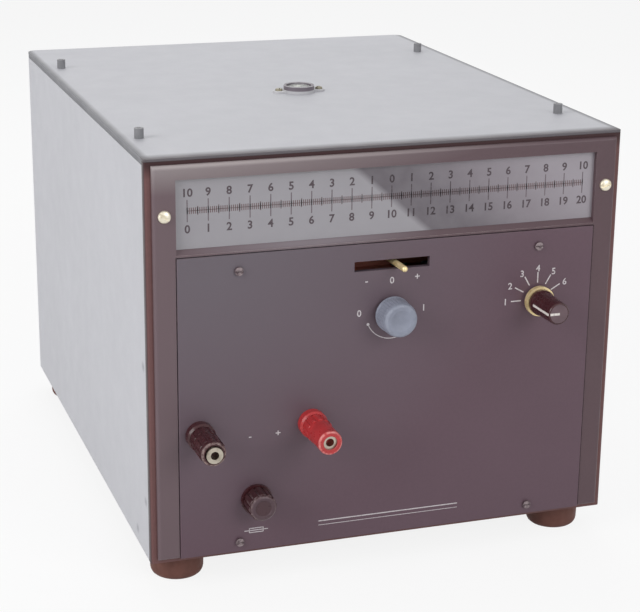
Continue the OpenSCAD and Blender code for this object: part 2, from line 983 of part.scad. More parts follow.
module clamp_guide() {
    lip_x = slide_hw + 0.2;
    tab_hw = 12;
    shelf_tab_y = pivot_y - yoke_hd - gap;
    bridge_tab_in = 10;
    bridge_tab_y = pivot_y - plate_hd + bridge_tab_in;
    color("#9d9a92")
        cabinet()
            difference() {
                union() {
                    translate([-lip_x - guide_lip, guide_y, shelf_z0])
                        cube([2 * (lip_x + guide_lip), guide_t, bridge_z0 - shelf_z0]);
                    for (s = [-1, 1])
                        translate([s * (lip_x + guide_lip / 2) - guide_lip / 2, slide_y - gap, shelf_z1])
                            cube([guide_lip, guide_y - slide_y + gap + 1, bridge_z0 - shelf_z1 - 4]);
                    translate([-tab_hw, guide_y + 1, shelf_z1])
                        cube([2 * tab_hw, shelf_tab_y - guide_y - 1, guide_t]);
                    translate([-tab_hw, guide_y + 1, bridge_z0 - guide_t])
                        cube([2 * tab_hw, bridge_tab_y - guide_y - 1, guide_t]);
                }
                translate([0, 0, knob_z])
                    rod(shaft_d + 2 * run, guide_y - 1, guide_y + guide_t + 1);
            }
}

// Range selector

module selector_knob() {
    r = selector_knob_d / 2;
    y1 = selector_y + selector_knob_l;
    mark_w = 1;
    color("#1f1d1e")
        cabinet()
            translate([selector_x, 0, knob_z])
                difference() {
                    turned([[0, selector_y], [r, selector_y], [r, selector_y + 3], [r - 0.5, selector_y + 4],
                        [r - 0.9, y1 - 1], [r - 1.8, y1], [r - 2.3, y1], [r - 2.3, y1 - 0.4],
                        [0, y1 - 0.4]]);
                    rod(shaft_d + 2 * run, -selector_y - selector_bore, 0);
                    translate([-r - 1, -y1 - 1, -mark_w / 2])
                        cube([1.5, selector_knob_l + 2, mark_w]);
                }
}

module selector_ring() {
    color("#c9b27a")
        cabinet()
            translate([selector_x, 0, knob_z])
                difference() {
                    rod(selector_ring_d, -selector_y, -knob_out);
                    rod(shaft_d + 2 * run, -selector_y - 1, 0);
                }
}

module selector_shaft() {
    color("#b5b2aa")
        cabinet()
            translate([selector_x, 0, knob_z]) {
                rod(shaft_d, -selector_y - selector_bore + gap, wafer_y[1] + wafer_t + 1);
                for (y = wafer_y)
                    rod(rotor_d, y, y + wafer_t);
            }
}

module switch_body() {
    color("#a8a59c")
        cabinet()
            translate([selector_x, 0, knob_z]) {
                shaft_bush();
                difference() {
                    rod(index_d, index_y, index_y + index_l);
                    rod(bush_d + 2 * run, index_y - 1, bush_l + gap);
                    rod(shaft_d + 2 * run, index_y - 1, index_y + index_l + 1);
                    for (s = [-1, 1])
                        translate([s * tie_x, 0, 0])
                            rod(tie_d + 2 * run, index_y - 1, index_y + index_l + 1);
                }
                for (s = [-1, 1])
                    translate([s * tie_x, 0, 0])
                        rod(tie_d, index_y, wafer_y[1] + wafer_t + 2);
            }
}

module switch_wafers() {
    color("#9a6b3a")
        cabinet()
            translate([selector_x, 0, knob_z])
                for (y = wafer_y)
                    difference() {
                        rod(wafer_d, y, y + wafer_t);
                        rod(rotor_d + 2 * gap, y - 1, y + wafer_t + 1);
                        for (s = [-1, 1])
                            translate([s * tie_x, 0, 0])
                                rod(tie_d + 2 * run, y - 1, y + wafer_t + 1);
                    }
}

module shunt_resistors() {
    lead_d = 0.8;
    y0 = wafer_y[0] + wafer_t;
    color("#b88a52")
        cabinet()
            translate([selector_x, 0, knob_z])
                for (a = [40, 65, 90, 115, 140])
                    translate([resistor_ring * cos(a), 0, resistor_ring * sin(a)]) {
                        rod(lead_d, y0, wafer_y[1]);
                        rod(resistor_d, y0 + 1.5, wafer_y[1] - 1.5);
                    }
}

// Terminals: the cap turns on its insert and both travel along the stud

module terminal_base(x) {
    cabinet()
        translate([x, 0, post_z]) {
            difference() {
                union() {
                    turned([[0, panel_t], [washer_d / 2, panel_t], [washer_d / 2, panel_t + collar_l - 1],
                        [washer_d / 2 - 1, panel_t + collar_l], [0, panel_t + collar_l]]);
                    rod(neck_d, -panel_t - 1, 0);
                }
                rod(stud_d + 2 * run, -panel_t - collar_l - 1, 1);
            }
            difference() {
                rod(washer_d, 0, washer_l);
                rod(stud_tail_d + 2 * run, -1, washer_l + 1);
            }
        }
}

module black_terminal_base() {
    color("#1d1b1c")
        terminal_base(black_x);
}

module red_terminal_base() {
    color("#b3212a")
        terminal_base(red_x);
}

module terminal_studs() {
    color("#c8c1a8")
        cabinet()
            for (x = [black_x, red_x])
                translate([x, 0, post_z])
                    difference() {
                        union() {
                            rod(stud_tail_d, -1, stud_tail_l);
                            rod(stud_d, -stud_tip, 0);
                            rod(stud_ring_d, -stud_tip, -stud_tip + stud_ring_l);
                        }
                        rod(socket_d, -stud_tip - 1, -stud_tip + socket_l);
                    }
}

module terminal_insert(x) {
    color("#c2a25c")
        cabinet()
            translate([x, 0, post_z])
                difference() {
                    rod(insert_d, -cap_y - insert_l, -cap_y);
                    rod(stud_d + 2 * run, -cap_y - insert_l - 1, 1);
                }
}

module black_insert() {
    terminal_insert(black_x);
}

module red_insert() {
    terminal_insert(red_x);
}

// cap between the collar and its front edge, fluted over a share of its length, with a groove after
// the first band
module terminal_cap(x, front, fluted_share) {
    l = front - cap_y;
    band = 0.36;
    groove_l = 1.2;
    groove_y = cap_y + l * band;
    barrel_r = cap_d / 2 - 0.4;
    lip = 0.6;
    cabinet()
        translate([x, 0, post_z])
            difference() {
                union() {
                    translate([0, -cap_y, 0])
                        rotate([90, 0, 0])
                            fluted(cap_d, l * fluted_share);
                    turned([[0, cap_y + l * band], [barrel_r - lip, cap_y + l * band],
                        [barrel_r, cap_y + l * band + lip], [barrel_r, front - lip], [barrel_r - lip, front],
                        [0, front]]);
                }
                difference() {
                    rod(cap_d + 2, -groove_y - groove_l, -groove_y);
                    rod(cap_d - 1.6, -groove_y - 2 * groove_l, -groove_y + groove_l);
                }
                rod(insert_d + 2 * run, -front + cap_recess_l, 1);
                rod(cap_recess_d, -front - 1, -front + cap_recess_l);
                rod(stud_d + 4 * run, -front - 1, 1);
            }
}

module black_cap() {
    color("#1d1b1c")
        terminal_cap(black_x, stud_tip - black_proud, 0.87);
}

module red_cap() {
    color("#c8262f")
        terminal_cap(red_x, stud_tip + red_sunk, 0.36);
}

// Fuse: the link travels with its screw cap

module fuse_holder() {
    link_end = fuse_l + gap;
    color("#1d1b1c")
        cabinet()
            translate([fuse_x, 0, fuse_z])
                difference() {
                    union() {
                        rod(fuse_flange_d, -panel_t - fuse_flange_l, -panel_t);
                        rod(fuse_body_d, -panel_t - 1, link_end + fuse_floor);
                    }
                    rod(fuse_bore, -panel_t - 5, link_end);
                }
}

module fuse_link() {
    color("#d8d6c8")
        cabinet()
            translate([fuse_x, 0, fuse_z])
                rod(fuse_d, 0, fuse_l);
}

module fuse_cap() {
    r = fuse_cap_d / 2;
    y1 = fuse_cap_y + fuse_cap_l;
    color("#1d1b1c")
        cabinet()
            translate([fuse_x, 0, fuse_z]) {
                translate([0, -fuse_cap_y, 0])
                    rotate([90, 0, 0])
                        fluted(fuse_cap_d, fuse_cap_l - 1.5);
                turned([[0, y1 - 2.5], [r - 0.5, y1 - 2.5], [r - 0.5, y1 - 1], [r - 1.5, y1], [0, y1]]);
                rod(fuse_bore - 2 * gap, -fuse_cap_y - 1, -gap);
            }
}

// Movement

module pillar_places() {
    for (x = [-1, 1])
        for (y = [-1, 1])
            translate([x * pillar_x, y * pillar_y, 0])
                children();
}

module movement_base() {
    anchor_d = 8;
    color("#7f7b76")
        on_pivot()
            difference() {
                union() {
                    translate([-casting_hw, -casting_hd, frame_t])
                        cube([2 * casting_hw, 2 * casting_hd, casting_t]);
                    translate([0, 0, frame_t])
                        cylinder(d = anchor_d, h = casting_t + anchor_h);
                }
                translate([0, 0, casting_z1])
                    cylinder(d = ribbon_d + 2 * gap, h = anchor_h + 1);
            }
}

module movement_pillars() {
    color("#b9b6ad")
        on_pivot()
            pillar_places() {
                translate([0, 0, casting_z1])
                    cylinder(d = low_pillar_d, h = shelf_z0 - casting_z1);
                translate([0, 0, shelf_z1])
                    cylinder(d = pillar_d, h = bridge_z0 - shelf_z1);
            }
}

module movement_plates() {
    shelf_bore = coil_w + 2 * coil_depth;
    color("#b9b6ad")
        on_pivot() {
            difference() {
                translate([-plate_hw, -plate_hd, shelf_z0])
                    cube([2 * plate_hw, 2 * plate_hd, shelf_t]);
                translate([0, 0, shelf_z0 - 1])
                    cylinder(d = shelf_bore, h = shelf_t + 2);
            }
            difference() {
                translate([-plate_hw, -plate_hd, bridge_z0])
                    cube([2 * plate_hw, 2 * plate_hd, bridge_t]);
                translate([0, 0, bridge_z0 - 1])
                    cylinder(d = spindle_d + 2 * run, h = bridge_t + 2);
            }
        }
}

module magnet_yoke() {
    inner_x = yoke_hw - yoke_t;
    inner_y = yoke_hd - yoke_t;
    color("#5b5f63")
        on_pivot()
            difference() {
                translate([-yoke_hw, -yoke_hd, shelf_z1])
                    cube([2 * yoke_hw, 2 * yoke_hd, yoke_h]);
                translate([-inner_x, -inner_y, shelf_z1 - 1])
                    cube([2 * inner_x, 2 * inner_y, yoke_h + 2]);
            }
}

module magnets() {
    magnet_hh = yoke_h / 2 - 2;
    color("#8a3b34")
        on_pivot()
            for (s = [-1, 1])
                translate([s * (pole_x + magnet_t / 2) - magnet_t / 2, -magnet_hd, magnet_z - magnet_hh])
                    cube([magnet_t, 2 * magnet_hd, 2 * magnet_hh]);
}

module pole_pieces() {
    pole_hh = yoke_h / 2 - 1;
    pole_in = 8;
    pole_w = pole_x - pole_in;
    color("#5b5f63")
        on_pivot()
            difference() {
                for (s = [-1, 1])
                    translate([s * (pole_x + pole_in) / 2 - pole_w / 2, -pole_hd, magnet_z - pole_hh])
                        cube([pole_w, 2 * pole_hd, 2 * pole_hh]);
                translate([0, 0, magnet_z - pole_hh - 1])
                    cylinder(r = pole_r, h = 2 * pole_hh + 2);
            }
}

module core() {
    strap_hw = pole_x - 2;
    strap_hh = 8;
    boss = 8;
    color("#5b5f63")
        on_pivot() {
            translate([0, 0, magnet_z - core_l / 2])
                cylinder(d = core_d, h = core_l);
            translate([0, 0, magnet_z])
                rod(boss, 0, pole_hd + strap_t / 2);
            translate([-strap_hw, pole_hd, magnet_z - strap_hh])
                cube([2 * strap_hw, strap_t, 2 * strap_hh]);
        }
}

module torsion_head() {
    collar_z1 = bridge_z0 - gap;
    color("#c2a25c")
        on_pivot()
            difference() {
                union() {
                    translate([0, 0, slot_z - disc_t / 2])
                        cylinder(d = head_d, h = disc_t);
                    translate([0, 0, collar_z1 - collar_t])
                        cylinder(d = spindle_d, h = slot_z - collar_z1 + collar_t);
                    translate([0, 0, collar_z1 - collar_t])
                        cylinder(d = spindle_d + 4, h = collar_t);
                    translate([0, 0, slot_z])
                        cylinder(d = head_tube_d, h = head_tube_z1 - slot_z);
                }
                translate([0, 0, collar_z1 - collar_t - 1])
                    cylinder(d = head_bore, h = head_tube_z1 - head_roof - collar_z1 + collar_t + 1);
                translate([0, 0, slot_z])
                    rotate([0, 0, lever_rest])
                        rod(lever_d + 2 * run, -head_d, -head_d / 2 + lever_seat);
            }
}

module zero_lever() {
    tip_y = -pivot_y - panel_t - lever_out;
    color("#c9a860")
        on_pivot()
            translate([0, 0, slot_z])
                rotate([0, 0, lever_rest]) {
                    rod(lever_d, tip_y + lever_d / 2, -head_d / 2 + lever_seat - gap);
                    translate([0, tip_y + lever_d / 2, 0])
                        sphere(d = lever_d);
                }
}

module coil() {
    color("#a05a2c")
        on_pivot()
            translate([0, 0, magnet_z])
                difference() {
                    cube([coil_w, coil_depth, coil_h], center = true);
                    cube([coil_w - 2 * coil_t, coil_depth + 2, coil_h - 2 * coil_t], center = true);
                }
}

module coil_stem() {
    plate_w = mirror_d - 2;
    color("#b9b6ad")
        on_pivot() {
            translate([0, 0, coil_z0 - boss_l])
                cylinder(d = boss_d, h = boss_l);
            translate([0, 0, coil_z1])
                cylinder(d = boss_d, h = boss_l);
            translate([0, 0, coil_z1])
                cylinder(d = stem_d, h = stem_z1 - coil_z1);
            translate([-plate_w / 2, 0, mirror_z - plate_w / 2])
                cube([plate_w, stem_d / 2 + 0.5, plate_w]);
        }
}

module coil_mirror() {
    mirror_t = 1.2;
    y0 = stem_d / 2 + 0.5;
    color("#d5dade")
        on_pivot()
            translate([0, 0, mirror_z])
                rod(mirror_d, y0, y0 + mirror_t);
}

module suspension() {
    color("#c2a25c")
        on_pivot() {
            translate([0, 0, stem_z1])
                cylinder(d = ribbon_d, h = head_tube_z1 - head_roof - gap - stem_z1, $fn = 16);
            translate([0, 0, casting_z1 + gap])
                cylinder(d = ribbon_d, h = coil_z0 - boss_l - casting_z1 - gap, $fn = 16);
        }
}

// Optics

module lamp_house() {
    r = lamp_d / 2;
    tube_r = lens_tube_d / 2;
    seat_r = lens_d / 2 + run;
    seat_l = 2 * lens_t - lens_tube_l;
    hole_r = lens_d / 2 - 1;
    holder_r = holder_d / 2 + run;
    wall_r = r - lamp_wall;
    vent_d = 5;
    color("#2b2a2c")
        on_beam(lamp_y)
            difference() {
                rotate([-90, 0, 0])
                    rotate_extrude()
                        polygon([[seat_r, -lens_tube_l], [tube_r, -lens_tube_l], [tube_r, 0], [r, 0],
                            [r, lamp_l], [holder_r, lamp_l], [holder_r, lamp_l - lamp_wall],
                            [wall_r, lamp_l - lamp_wall], [wall_r, lamp_wall], [hole_r, lamp_wall],
                            [hole_r, seat_l], [seat_r, seat_l]]);
                for (i = [0:2])
                    translate([0, lamp_l * (0.35 + 0.18 * i), wall_r - 1])
                        cylinder(d = vent_d, h = lamp_wall + 3);
            }
}

module lens() {
    ball_r = lens_d * 0.75;
    sag = ball_r - sqrt(ball_r * ball_r - lens_d * lens_d / 4);
    color("#cfe0e6")
        on_beam(lamp_y)
            intersection() {
                rod(lens_d, -lens_tube_l, -lens_tube_l + 2 * lens_t);
                translate([0, -lens_tube_l + 2 * lens_t - ball_r, 0])
                    sphere(ball_r, $fn = 96);
                translate([0, -lens_tube_l + 2 * lens_t - 2 * sag - 1 + ball_r, 0])
                    sphere(ball_r, $fn = 96);
            }
}

module bulb() {
    color("#d9d2a8")
        on_beam(lamp_y) {
            translate([0, lamp_l - holder_l - bulb_d / 3, 0])
                sphere(d = bulb_d);
            rod(holder_d, lamp_l - holder_l, lamp_l + 3);
        }
}

module rear_mirror() {
    color("#c4ccd2")
        cabinet()
            translate([-rear_mirror_w / 2, rear_mirror_y, rear_mirror_z - rear_mirror_h / 2])
                cube([rear_mirror_w, rear_mirror_t, rear_mirror_h]);
}

module optics_brackets() {
    plate_y = rear_mirror_y + rear_mirror_t;
    stand_y = lamp_y + lamp_l * 0.45;
    color("#8f8c86")
        cabinet() {
            translate([-bracket_hw, plate_y, rear_mirror_z - bracket_hh])
                cube([2 * bracket_hw, frame_t, 2 * bracket_hh]);
            for (s = [-1, 1])
                translate([s * (bracket_hw - standoff_d), 0, rear_mirror_z])
                    rod(standoff_d, plate_y + 1, back_y);
            difference() {
                union() {
                    translate([-2 * stand_hw, stand_y - 2 * stand_hw / 1.5, frame_t])
                        cube([4 * stand_hw, 4 * stand_hw / 1.5, stand_foot]);
                    translate([-stand_hw, stand_y - stand_hw / 1.5, frame_t])
                        cube([2 * stand_hw, 2 * stand_hw / 1.5, lamp_z - frame_t - lamp_d / 4]);
                }
                translate([0, lamp_y, lamp_z])
                    rotate([-beam_angle, 0, 0])
                        rod(lamp_d + 2 * loose, -5, lamp_l + 5);
            }
        }
}

// Supply

module transformer() {
    foot_l = 12;
    bobbin = 2;
    window = (core_w - 4 * limb) / 2;
    winding_w = core_w - 2 * limb - 2 * gap;
    winding_h = core_h - 2 * limb - 2 * gap;
    color("#6f6a62")
        cabinet()
            translate([transformer_x, transformer_y, frame_t]) {
                translate([-core_w / 2, -core_stack / 2, 0])
                    difference() {
                        cube([core_w, core_stack, core_h]);
                        for (x = [limb, core_w - limb - window])
                            translate([x, -1, limb])
                                cube([window, core_stack + 2, core_h - 2 * limb]);
                    }
                translate([-core_w / 2 - foot_l, -core_stack / 2, 0])
                    cube([core_w + 2 * foot_l, core_stack, bobbin]);
                translate([-core_w / 2 + limb + gap, -core_stack / 2 - window, limb + gap])
                    difference() {
                        cube([winding_w, core_stack + 2 * window, winding_h]);
                        translate([window - 2 * gap, window - gap, -1])
                            cube([2 * limb + 2 * gap, core_stack + 2 * gap, core_h]);
                    }
            }
}

module mains_inlet() {
    wall = 2;
    pin_w = 2;
    pin_x = 7;
    pin_z = 2;
    pin_sunk = 6;
    color("#1d1b1c")
        cabinet()
            translate([inlet_x, body_d, inlet_z])
                difference() {
                    union() {
                        translate([-inlet_w / 2 - inlet_flange, 0, -inlet_h / 2 - inlet_flange])
                            cube([inlet_w + 2 * inlet_flange, inlet_flange_t, inlet_h + 2 * inlet_flange]);
                        translate([-inlet_w / 2, -inlet_l, -inlet_h / 2])
                            cube([inlet_w, inlet_l + 1, inlet_h]);
                    }
                    difference() {
                        translate([-inlet_w / 2 + wall, -inlet_l + wall, -inlet_h / 2 + wall])
                            cube([inlet_w - 2 * wall, inlet_l + inlet_flange_t, inlet_h - 2 * wall]);
                        for (i = [-1, 0, 1])
                            translate([i * pin_x - pin_w / 2, -inlet_l, (1 - 2 * abs(i)) * pin_z - pin_w])
                                cube([pin_w, inlet_l - pin_sunk, 2 * pin_w]);
                    }
                }
}

base_tray();
front_frame();
rear_panel();
side_rails();
lid();
left_side_panel();
right_side_panel();
lid_screws();
small_screws();
feet();
foot_screws();
bezel();
scale_plate();
control_panel();
brass_screws();
level_housing();
level_vial();
lock_bush();
panel_nuts();
lock_knob();
lock_shaft();
lock_cam();
clamp_slide();
clamp_guide();
selector_knob();
selector_ring();
selector_shaft();
switch_body();
switch_wafers();
shunt_resistors();
black_terminal_base();
red_terminal_base();
terminal_studs();
black_insert();
black_cap();
red_insert();
red_cap();
fuse_holder();
fuse_link();
fuse_cap();
movement_base();
movement_pillars();
movement_plates();
magnet_yoke();
magnets();
pole_pieces();
core();
torsion_head();
zero_lever();
coil();
coil_stem();
coil_mirror();
suspension();
lamp_house();
lens();
bulb();
rear_mirror();
optics_brackets();
transformer();
mains_inlet();
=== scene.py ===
# %% [markdown]
# # A light-spot galvanometer, finished in Blender
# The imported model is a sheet-metal cabinet with a long scale, two knobs, two terminals and a fuse.
# Its shapes and places are already right, so this lesson adds what a drawing leaves out: softened
# edges, paint, print, turned and fluted details, and the light of a small studio.

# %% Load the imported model
import json
import math

import bmesh
import bpy
from mathutils import Matrix, Vector


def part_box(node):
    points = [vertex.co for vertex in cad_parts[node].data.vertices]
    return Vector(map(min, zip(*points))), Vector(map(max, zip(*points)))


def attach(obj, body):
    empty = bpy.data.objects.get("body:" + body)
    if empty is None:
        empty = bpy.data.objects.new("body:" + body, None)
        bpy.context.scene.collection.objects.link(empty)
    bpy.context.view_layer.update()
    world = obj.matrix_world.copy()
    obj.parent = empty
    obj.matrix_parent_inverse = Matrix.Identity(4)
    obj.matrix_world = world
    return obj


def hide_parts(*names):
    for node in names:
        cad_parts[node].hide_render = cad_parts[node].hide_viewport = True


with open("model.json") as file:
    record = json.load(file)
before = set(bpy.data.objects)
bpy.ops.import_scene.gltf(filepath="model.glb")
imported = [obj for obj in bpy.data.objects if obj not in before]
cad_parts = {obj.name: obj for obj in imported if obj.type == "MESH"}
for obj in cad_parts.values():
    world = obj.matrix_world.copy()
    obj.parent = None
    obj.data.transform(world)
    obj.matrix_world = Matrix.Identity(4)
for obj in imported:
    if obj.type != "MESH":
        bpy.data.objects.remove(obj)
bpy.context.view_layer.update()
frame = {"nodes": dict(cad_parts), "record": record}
MM = 0.001

# %% [markdown]
# ## Working by selection
# An operator acts on whatever is selected, and the loader leaves every node of the model selected. By hand
# one would click the faces. A script can't, and the numbers of faces change with every operator. So each
# step starts with one piece alone, and picks its faces or edges by their place.


# %% Selection helpers
def only(piece):
    """Leave one piece selected and active."""
    if bpy.context.object and bpy.context.object.mode != "OBJECT":
        bpy.ops.object.mode_set(mode="OBJECT")
    bpy.ops.object.select_all(action="DESELECT")
    piece.select_set(True)
    bpy.context.view_layer.objects.active = piece


def edit(piece, kind="FACE"):
    """Open one piece in edit mode with nothing selected."""
    only(piece)
    bpy.ops.object.mode_set(mode="EDIT")
    bpy.ops.mesh.select_mode(type=kind)
    bpy.ops.mesh.select_all(action="DESELECT")
    return bmesh.from_edit_mesh(piece.data)


def pick_faces(piece, wanted):
    """Select the faces whose centre and normal pass the test."""
    mesh = edit(piece, "FACE")
    for face in mesh.faces:
        face.select_set(bool(wanted(face.calc_center_median(), face.normal)))
    bmesh.update_edit_mesh(piece.data)


def pick_edges(piece, wanted, sharper_than):
    """Select the folded edges whose middle passes the test."""
    mesh = edit(piece, "EDGE")
    for edge in mesh.edges:
        folded = edge.is_manifold and edge.calc_face_angle(0) > math.radians(sharper_than)
        middle = (edge.verts[0].co + edge.verts[1].co) / 2
        edge.select_set(bool(folded and wanted(middle)))
    bmesh.update_edit_mesh(piece.data)


def finish_edit():
    """Leave edit mode."""
    bpy.ops.object.mode_set(mode="OBJECT")


bpy.ops.object.select_all(action="DESELECT")
print("selected after clearing:", len(bpy.context.selected_objects))

# %% [markdown]
# ## The camera
# The picture was taken from the left of the instrument and a little above it, with a long lens. A
# constraint could aim the camera at the cabinet's middle, but it would lose the slight roll. So the three
# axes are built from angles, which were found by matching the cabinet's corners with the photograph.

# %% Place the camera
camera_place = Vector((-0.2982, -0.9122, 0.3966))
heading, tilt, roll = (math.radians(a) for a in (18.752, 17.565, 0.608))
lens_mm, sensor_mm = 101.15, 36.0
forward = Vector((
    math.sin(heading) * math.cos(tilt), math.cos(heading) * math.cos(tilt), -math.sin(tilt)))
sideways = Vector((math.cos(heading), -math.sin(heading), 0))
upright = sideways.cross(forward)
right = sideways * math.cos(roll) + upright * math.sin(roll)
up = upright * math.cos(roll) - sideways * math.sin(roll)
bpy.ops.object.camera_add()
camera = bpy.context.object
axes = Matrix((right, up, -forward)).transposed().to_4x4()
camera.matrix_world = Matrix.Translation(camera_place) @ axes
camera.data.lens = lens_mm
camera.data.sensor_width = sensor_mm
bpy.context.scene.camera = camera
window_middle = sum(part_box("scale_plate"), Vector()) / 2
print("camera to the scale's middle:", round((camera_place - window_middle).length, 3), "m")

# %% [markdown]
# ## Floor and background
# The instrument stands on a plain pale floor. A curved backdrop would do, but a wide plane under a white
# sky shows no seam from any side. Both are white only for rays that look at them, so the object itself is
# lit at a plain level.

# %% Floor and world
SKY_STRENGTH = 0.42
FLOOR_SIZE = 12
FLOOR_GREY = 0.86
FLOOR_WHITENED = 0.86


def looked_at(tree):
    """A value that is 1 for camera, glossy and transmission rays."""
    path = tree.nodes.new("ShaderNodeLightPath")
    first = tree.nodes.new("ShaderNodeMath")
    first.operation = "MAXIMUM"
    tree.links.new(path.outputs["Is Camera Ray"], first.inputs[0])
    tree.links.new(path.outputs["Is Glossy Ray"], first.inputs[1])
    second = tree.nodes.new("ShaderNodeMath")
    second.operation = "MAXIMUM"
    tree.links.new(first.outputs[0], second.inputs[0])
    tree.links.new(path.outputs["Is Transmission Ray"], second.inputs[1])
    return second.outputs[0]


def pale_floor():
    """A grey floor that takes the shadow, whitened for the rays that look at it."""
    made = bpy.data.materials.new("pale_floor")
    made.use_nodes = True
    tree = made.node_tree
    tree.nodes.clear()
    lit = tree.nodes.new("ShaderNodeBsdfDiffuse")
    lit.inputs["Color"].default_value = (FLOOR_GREY, FLOOR_GREY, FLOOR_GREY, 1)
    plain = tree.nodes.new("ShaderNodeEmission")
    plain.inputs["Strength"].default_value = 1.0
    share = tree.nodes.new("ShaderNodeMath")
    share.operation = "MULTIPLY"
    share.inputs[1].default_value = FLOOR_WHITENED
    tree.links.new(looked_at(tree), share.inputs[0])
    mix = tree.nodes.new("ShaderNodeMixShader")
    tree.links.new(share.outputs[0], mix.inputs[0])
    tree.links.new(lit.outputs[0], mix.inputs[1])
    tree.links.new(plain.outputs[0], mix.inputs[2])
    out = tree.nodes.new("ShaderNodeOutputMaterial")
    tree.links.new(mix.outputs[0], out.inputs["Surface"])
    return made


bpy.ops.mesh.primitive_plane_add(size=FLOOR_SIZE)
floor = bpy.context.object
floor.name = "floor"
floor.data.materials.append(pale_floor())

sky = bpy.data.worlds.new("studio")
sky.use_nodes = True
bpy.context.scene.world = sky
sky_nodes = sky.node_tree.nodes
sky_links = sky.node_tree.links
even = sky_nodes["Background"]
even.inputs["Strength"].default_value = SKY_STRENGTH
even.inputs["Color"].default_value = (0.97, 0.98, 1.0, 1)
white = sky_nodes.new("ShaderNodeBackground")
white.inputs["Color"].default_value = (1, 1, 1, 1)
sky_mix = sky_nodes.new("ShaderNodeMixShader")
sky_links.new(looked_at(sky.node_tree), sky_mix.inputs[0])
sky_links.new(even.outputs[0], sky_mix.inputs[1])
sky_links.new(white.outputs[0], sky_mix.inputs[2])
sky_links.new(sky_mix.outputs[0], sky_nodes["World Output"].inputs["Surface"])
bpy.context.scene.view_settings.view_transform = "Standard"
print("stage:", floor.name, "and", sky.name)

# %% [markdown]
# ## Lamps
# The left side is the brightest and the front has only soft shadows under its knobs. Point lamps would
# draw hard ones, so three square lamps are used, the strongest on the left.

# %% Three soft lamps
CABINET_MIDDLE = Vector((0, 0, 0.11))


def soft_lamp(name, place, size, watts):
    """A square lamp that faces the middle of the cabinet."""
    bpy.ops.object.light_add(type="AREA", location=place)
    lamp = bpy.context.object
    lamp.name = name
    lamp.data.shape = "SQUARE"
    lamp.data.size = size
    lamp.data.energy = watts
    lamp.rotation_euler = (CABINET_MIDDLE - Vector(place)).to_track_quat("-Z", "Y").to_euler()
    return lamp


lamps = [
    soft_lamp("left_lamp", (-1.6, -0.6, 0.95), 1.1, 17),
    soft_lamp("top_lamp", (0.1, 0.75, 1.1), 0.9, 4.2),
    soft_lamp("front_lamp", (0.75, -1.7, 0.9), 1.0, 11),
]
print("lamps:", [lamp.name for lamp in lamps])

# %% [markdown]
# ## Finishes
# A finish is built from a few habits of real surfaces. Paint has a broad unevenness, a fine peel and
# lighter edges, both rubbed paint and a painted highlight. Metal has scratches along its turning and small
# dull stains. One shader serves them all, and small functions add to it what each surface needs.


# %% Colours and a new finish
def srgb(red, green, blue):
    """A colour as it is read off a picture, turned into the linear values of a shader."""
    values = []
    for level_255 in (red, green, blue):
        c = level_255 / 255
        values.append(c / 12.92 if c <= 0.04045 else ((c + 0.055) / 1.055) ** 2.4)
    return values


def new_finish(name, roughness, metallic=0.0):
    """A new material with its shader and its node tree."""
    made = bpy.data.materials.new(name)
    made.use_nodes = True
    shader = made.node_tree.nodes["Principled BSDF"]
    shader.inputs["Roughness"].default_value = roughness
    shader.inputs["Metallic"].default_value = metallic
    return made, shader, made.node_tree


print("mid grey read off a picture:", [round(v, 3) for v in srgb(128, 128, 128)])

# %% [markdown]
# ### Grain
# Surfaces vary at several sizes at once. A painted picture could show that, but a noise texture needs no
# file and has no seam. It reads the piece's own coordinates, so its grain has a real size in millimetres.
# A range node turns the noise into a share, and the share mixes two colours.


# %% Noise, ranges and mixing
def noise(tree, size_mm, detail, stretch=(1, 1, 1)):
    """Noise with a grain of about size_mm, longer along an axis whose stretch is above 1."""
    place = tree.nodes.new("ShaderNodeTexCoord")
    turn = tree.nodes.new("ShaderNodeMapping")
    turn.inputs["Scale"].default_value = tuple(1 / s for s in stretch)
    tree.links.new(place.outputs["Object"], turn.inputs["Vector"])
    grain = tree.nodes.new("ShaderNodeTexNoise")
    grain.inputs["Scale"].default_value = 1 / (size_mm * MM)
    grain.inputs["Detail"].default_value = detail
    tree.links.new(turn.outputs["Vector"], grain.inputs["Vector"])
    return grain.outputs["Fac"]


def spread(tree, value, low, high, start=0.3, end=0.7):
    """Stretch a noise value from its usual range to low..high."""
    node = tree.nodes.new("ShaderNodeMapRange")
    node.inputs["From Min"].default_value = start
    node.inputs["From Max"].default_value = end
    node.inputs["To Min"].default_value = low
    node.inputs["To Max"].default_value = high
    tree.links.new(value, node.inputs["Value"])
    return node.outputs["Result"]


def combine(tree, how, first, second):
    """Two values put through one Math node."""
    node = tree.nodes.new("ShaderNodeMath")
    node.operation = how
    node.use_clamp = True
    tree.links.new(first, node.inputs[0])
    tree.links.new(second, node.inputs[1])
    return node.outputs[0]


def blend_colours(tree, share, first, second):
    """Mix two colours, each given as numbers or as a socket."""
    node = tree.nodes.new("ShaderNodeMix")
    node.data_type = "RGBA"
    tree.links.new(share, node.inputs[0])
    for socket, value in zip((node.inputs[6], node.inputs[7]), (first, second)):
        if isinstance(value, (list, tuple)):
            socket.default_value = (*value, 1)
        else:
            tree.links.new(value, socket)
    return node.outputs[2]


print("noise scale for a grain of 1 mm:", round(1 / MM))

# %% [markdown]
# ### Bump and places
# A fine bump gives paint its peel and metal its scratches. Some tones belong to one place of a piece, such
# as painted shade along a rim, or an edge that is rubbed and carries a painted highlight. Faces with a
# material of their own would end in a hard line. A value that is read from the coordinates, or from a mark
# on the mesh, fades as the real edge does.

# %% Bump, places, and edges of wear and painted highlight
WEAR_AND_HIGHLIGHT = "wear_and_highlight"
# A reach far past the object: a patch with it runs along the whole of that axis.
FAR = 9


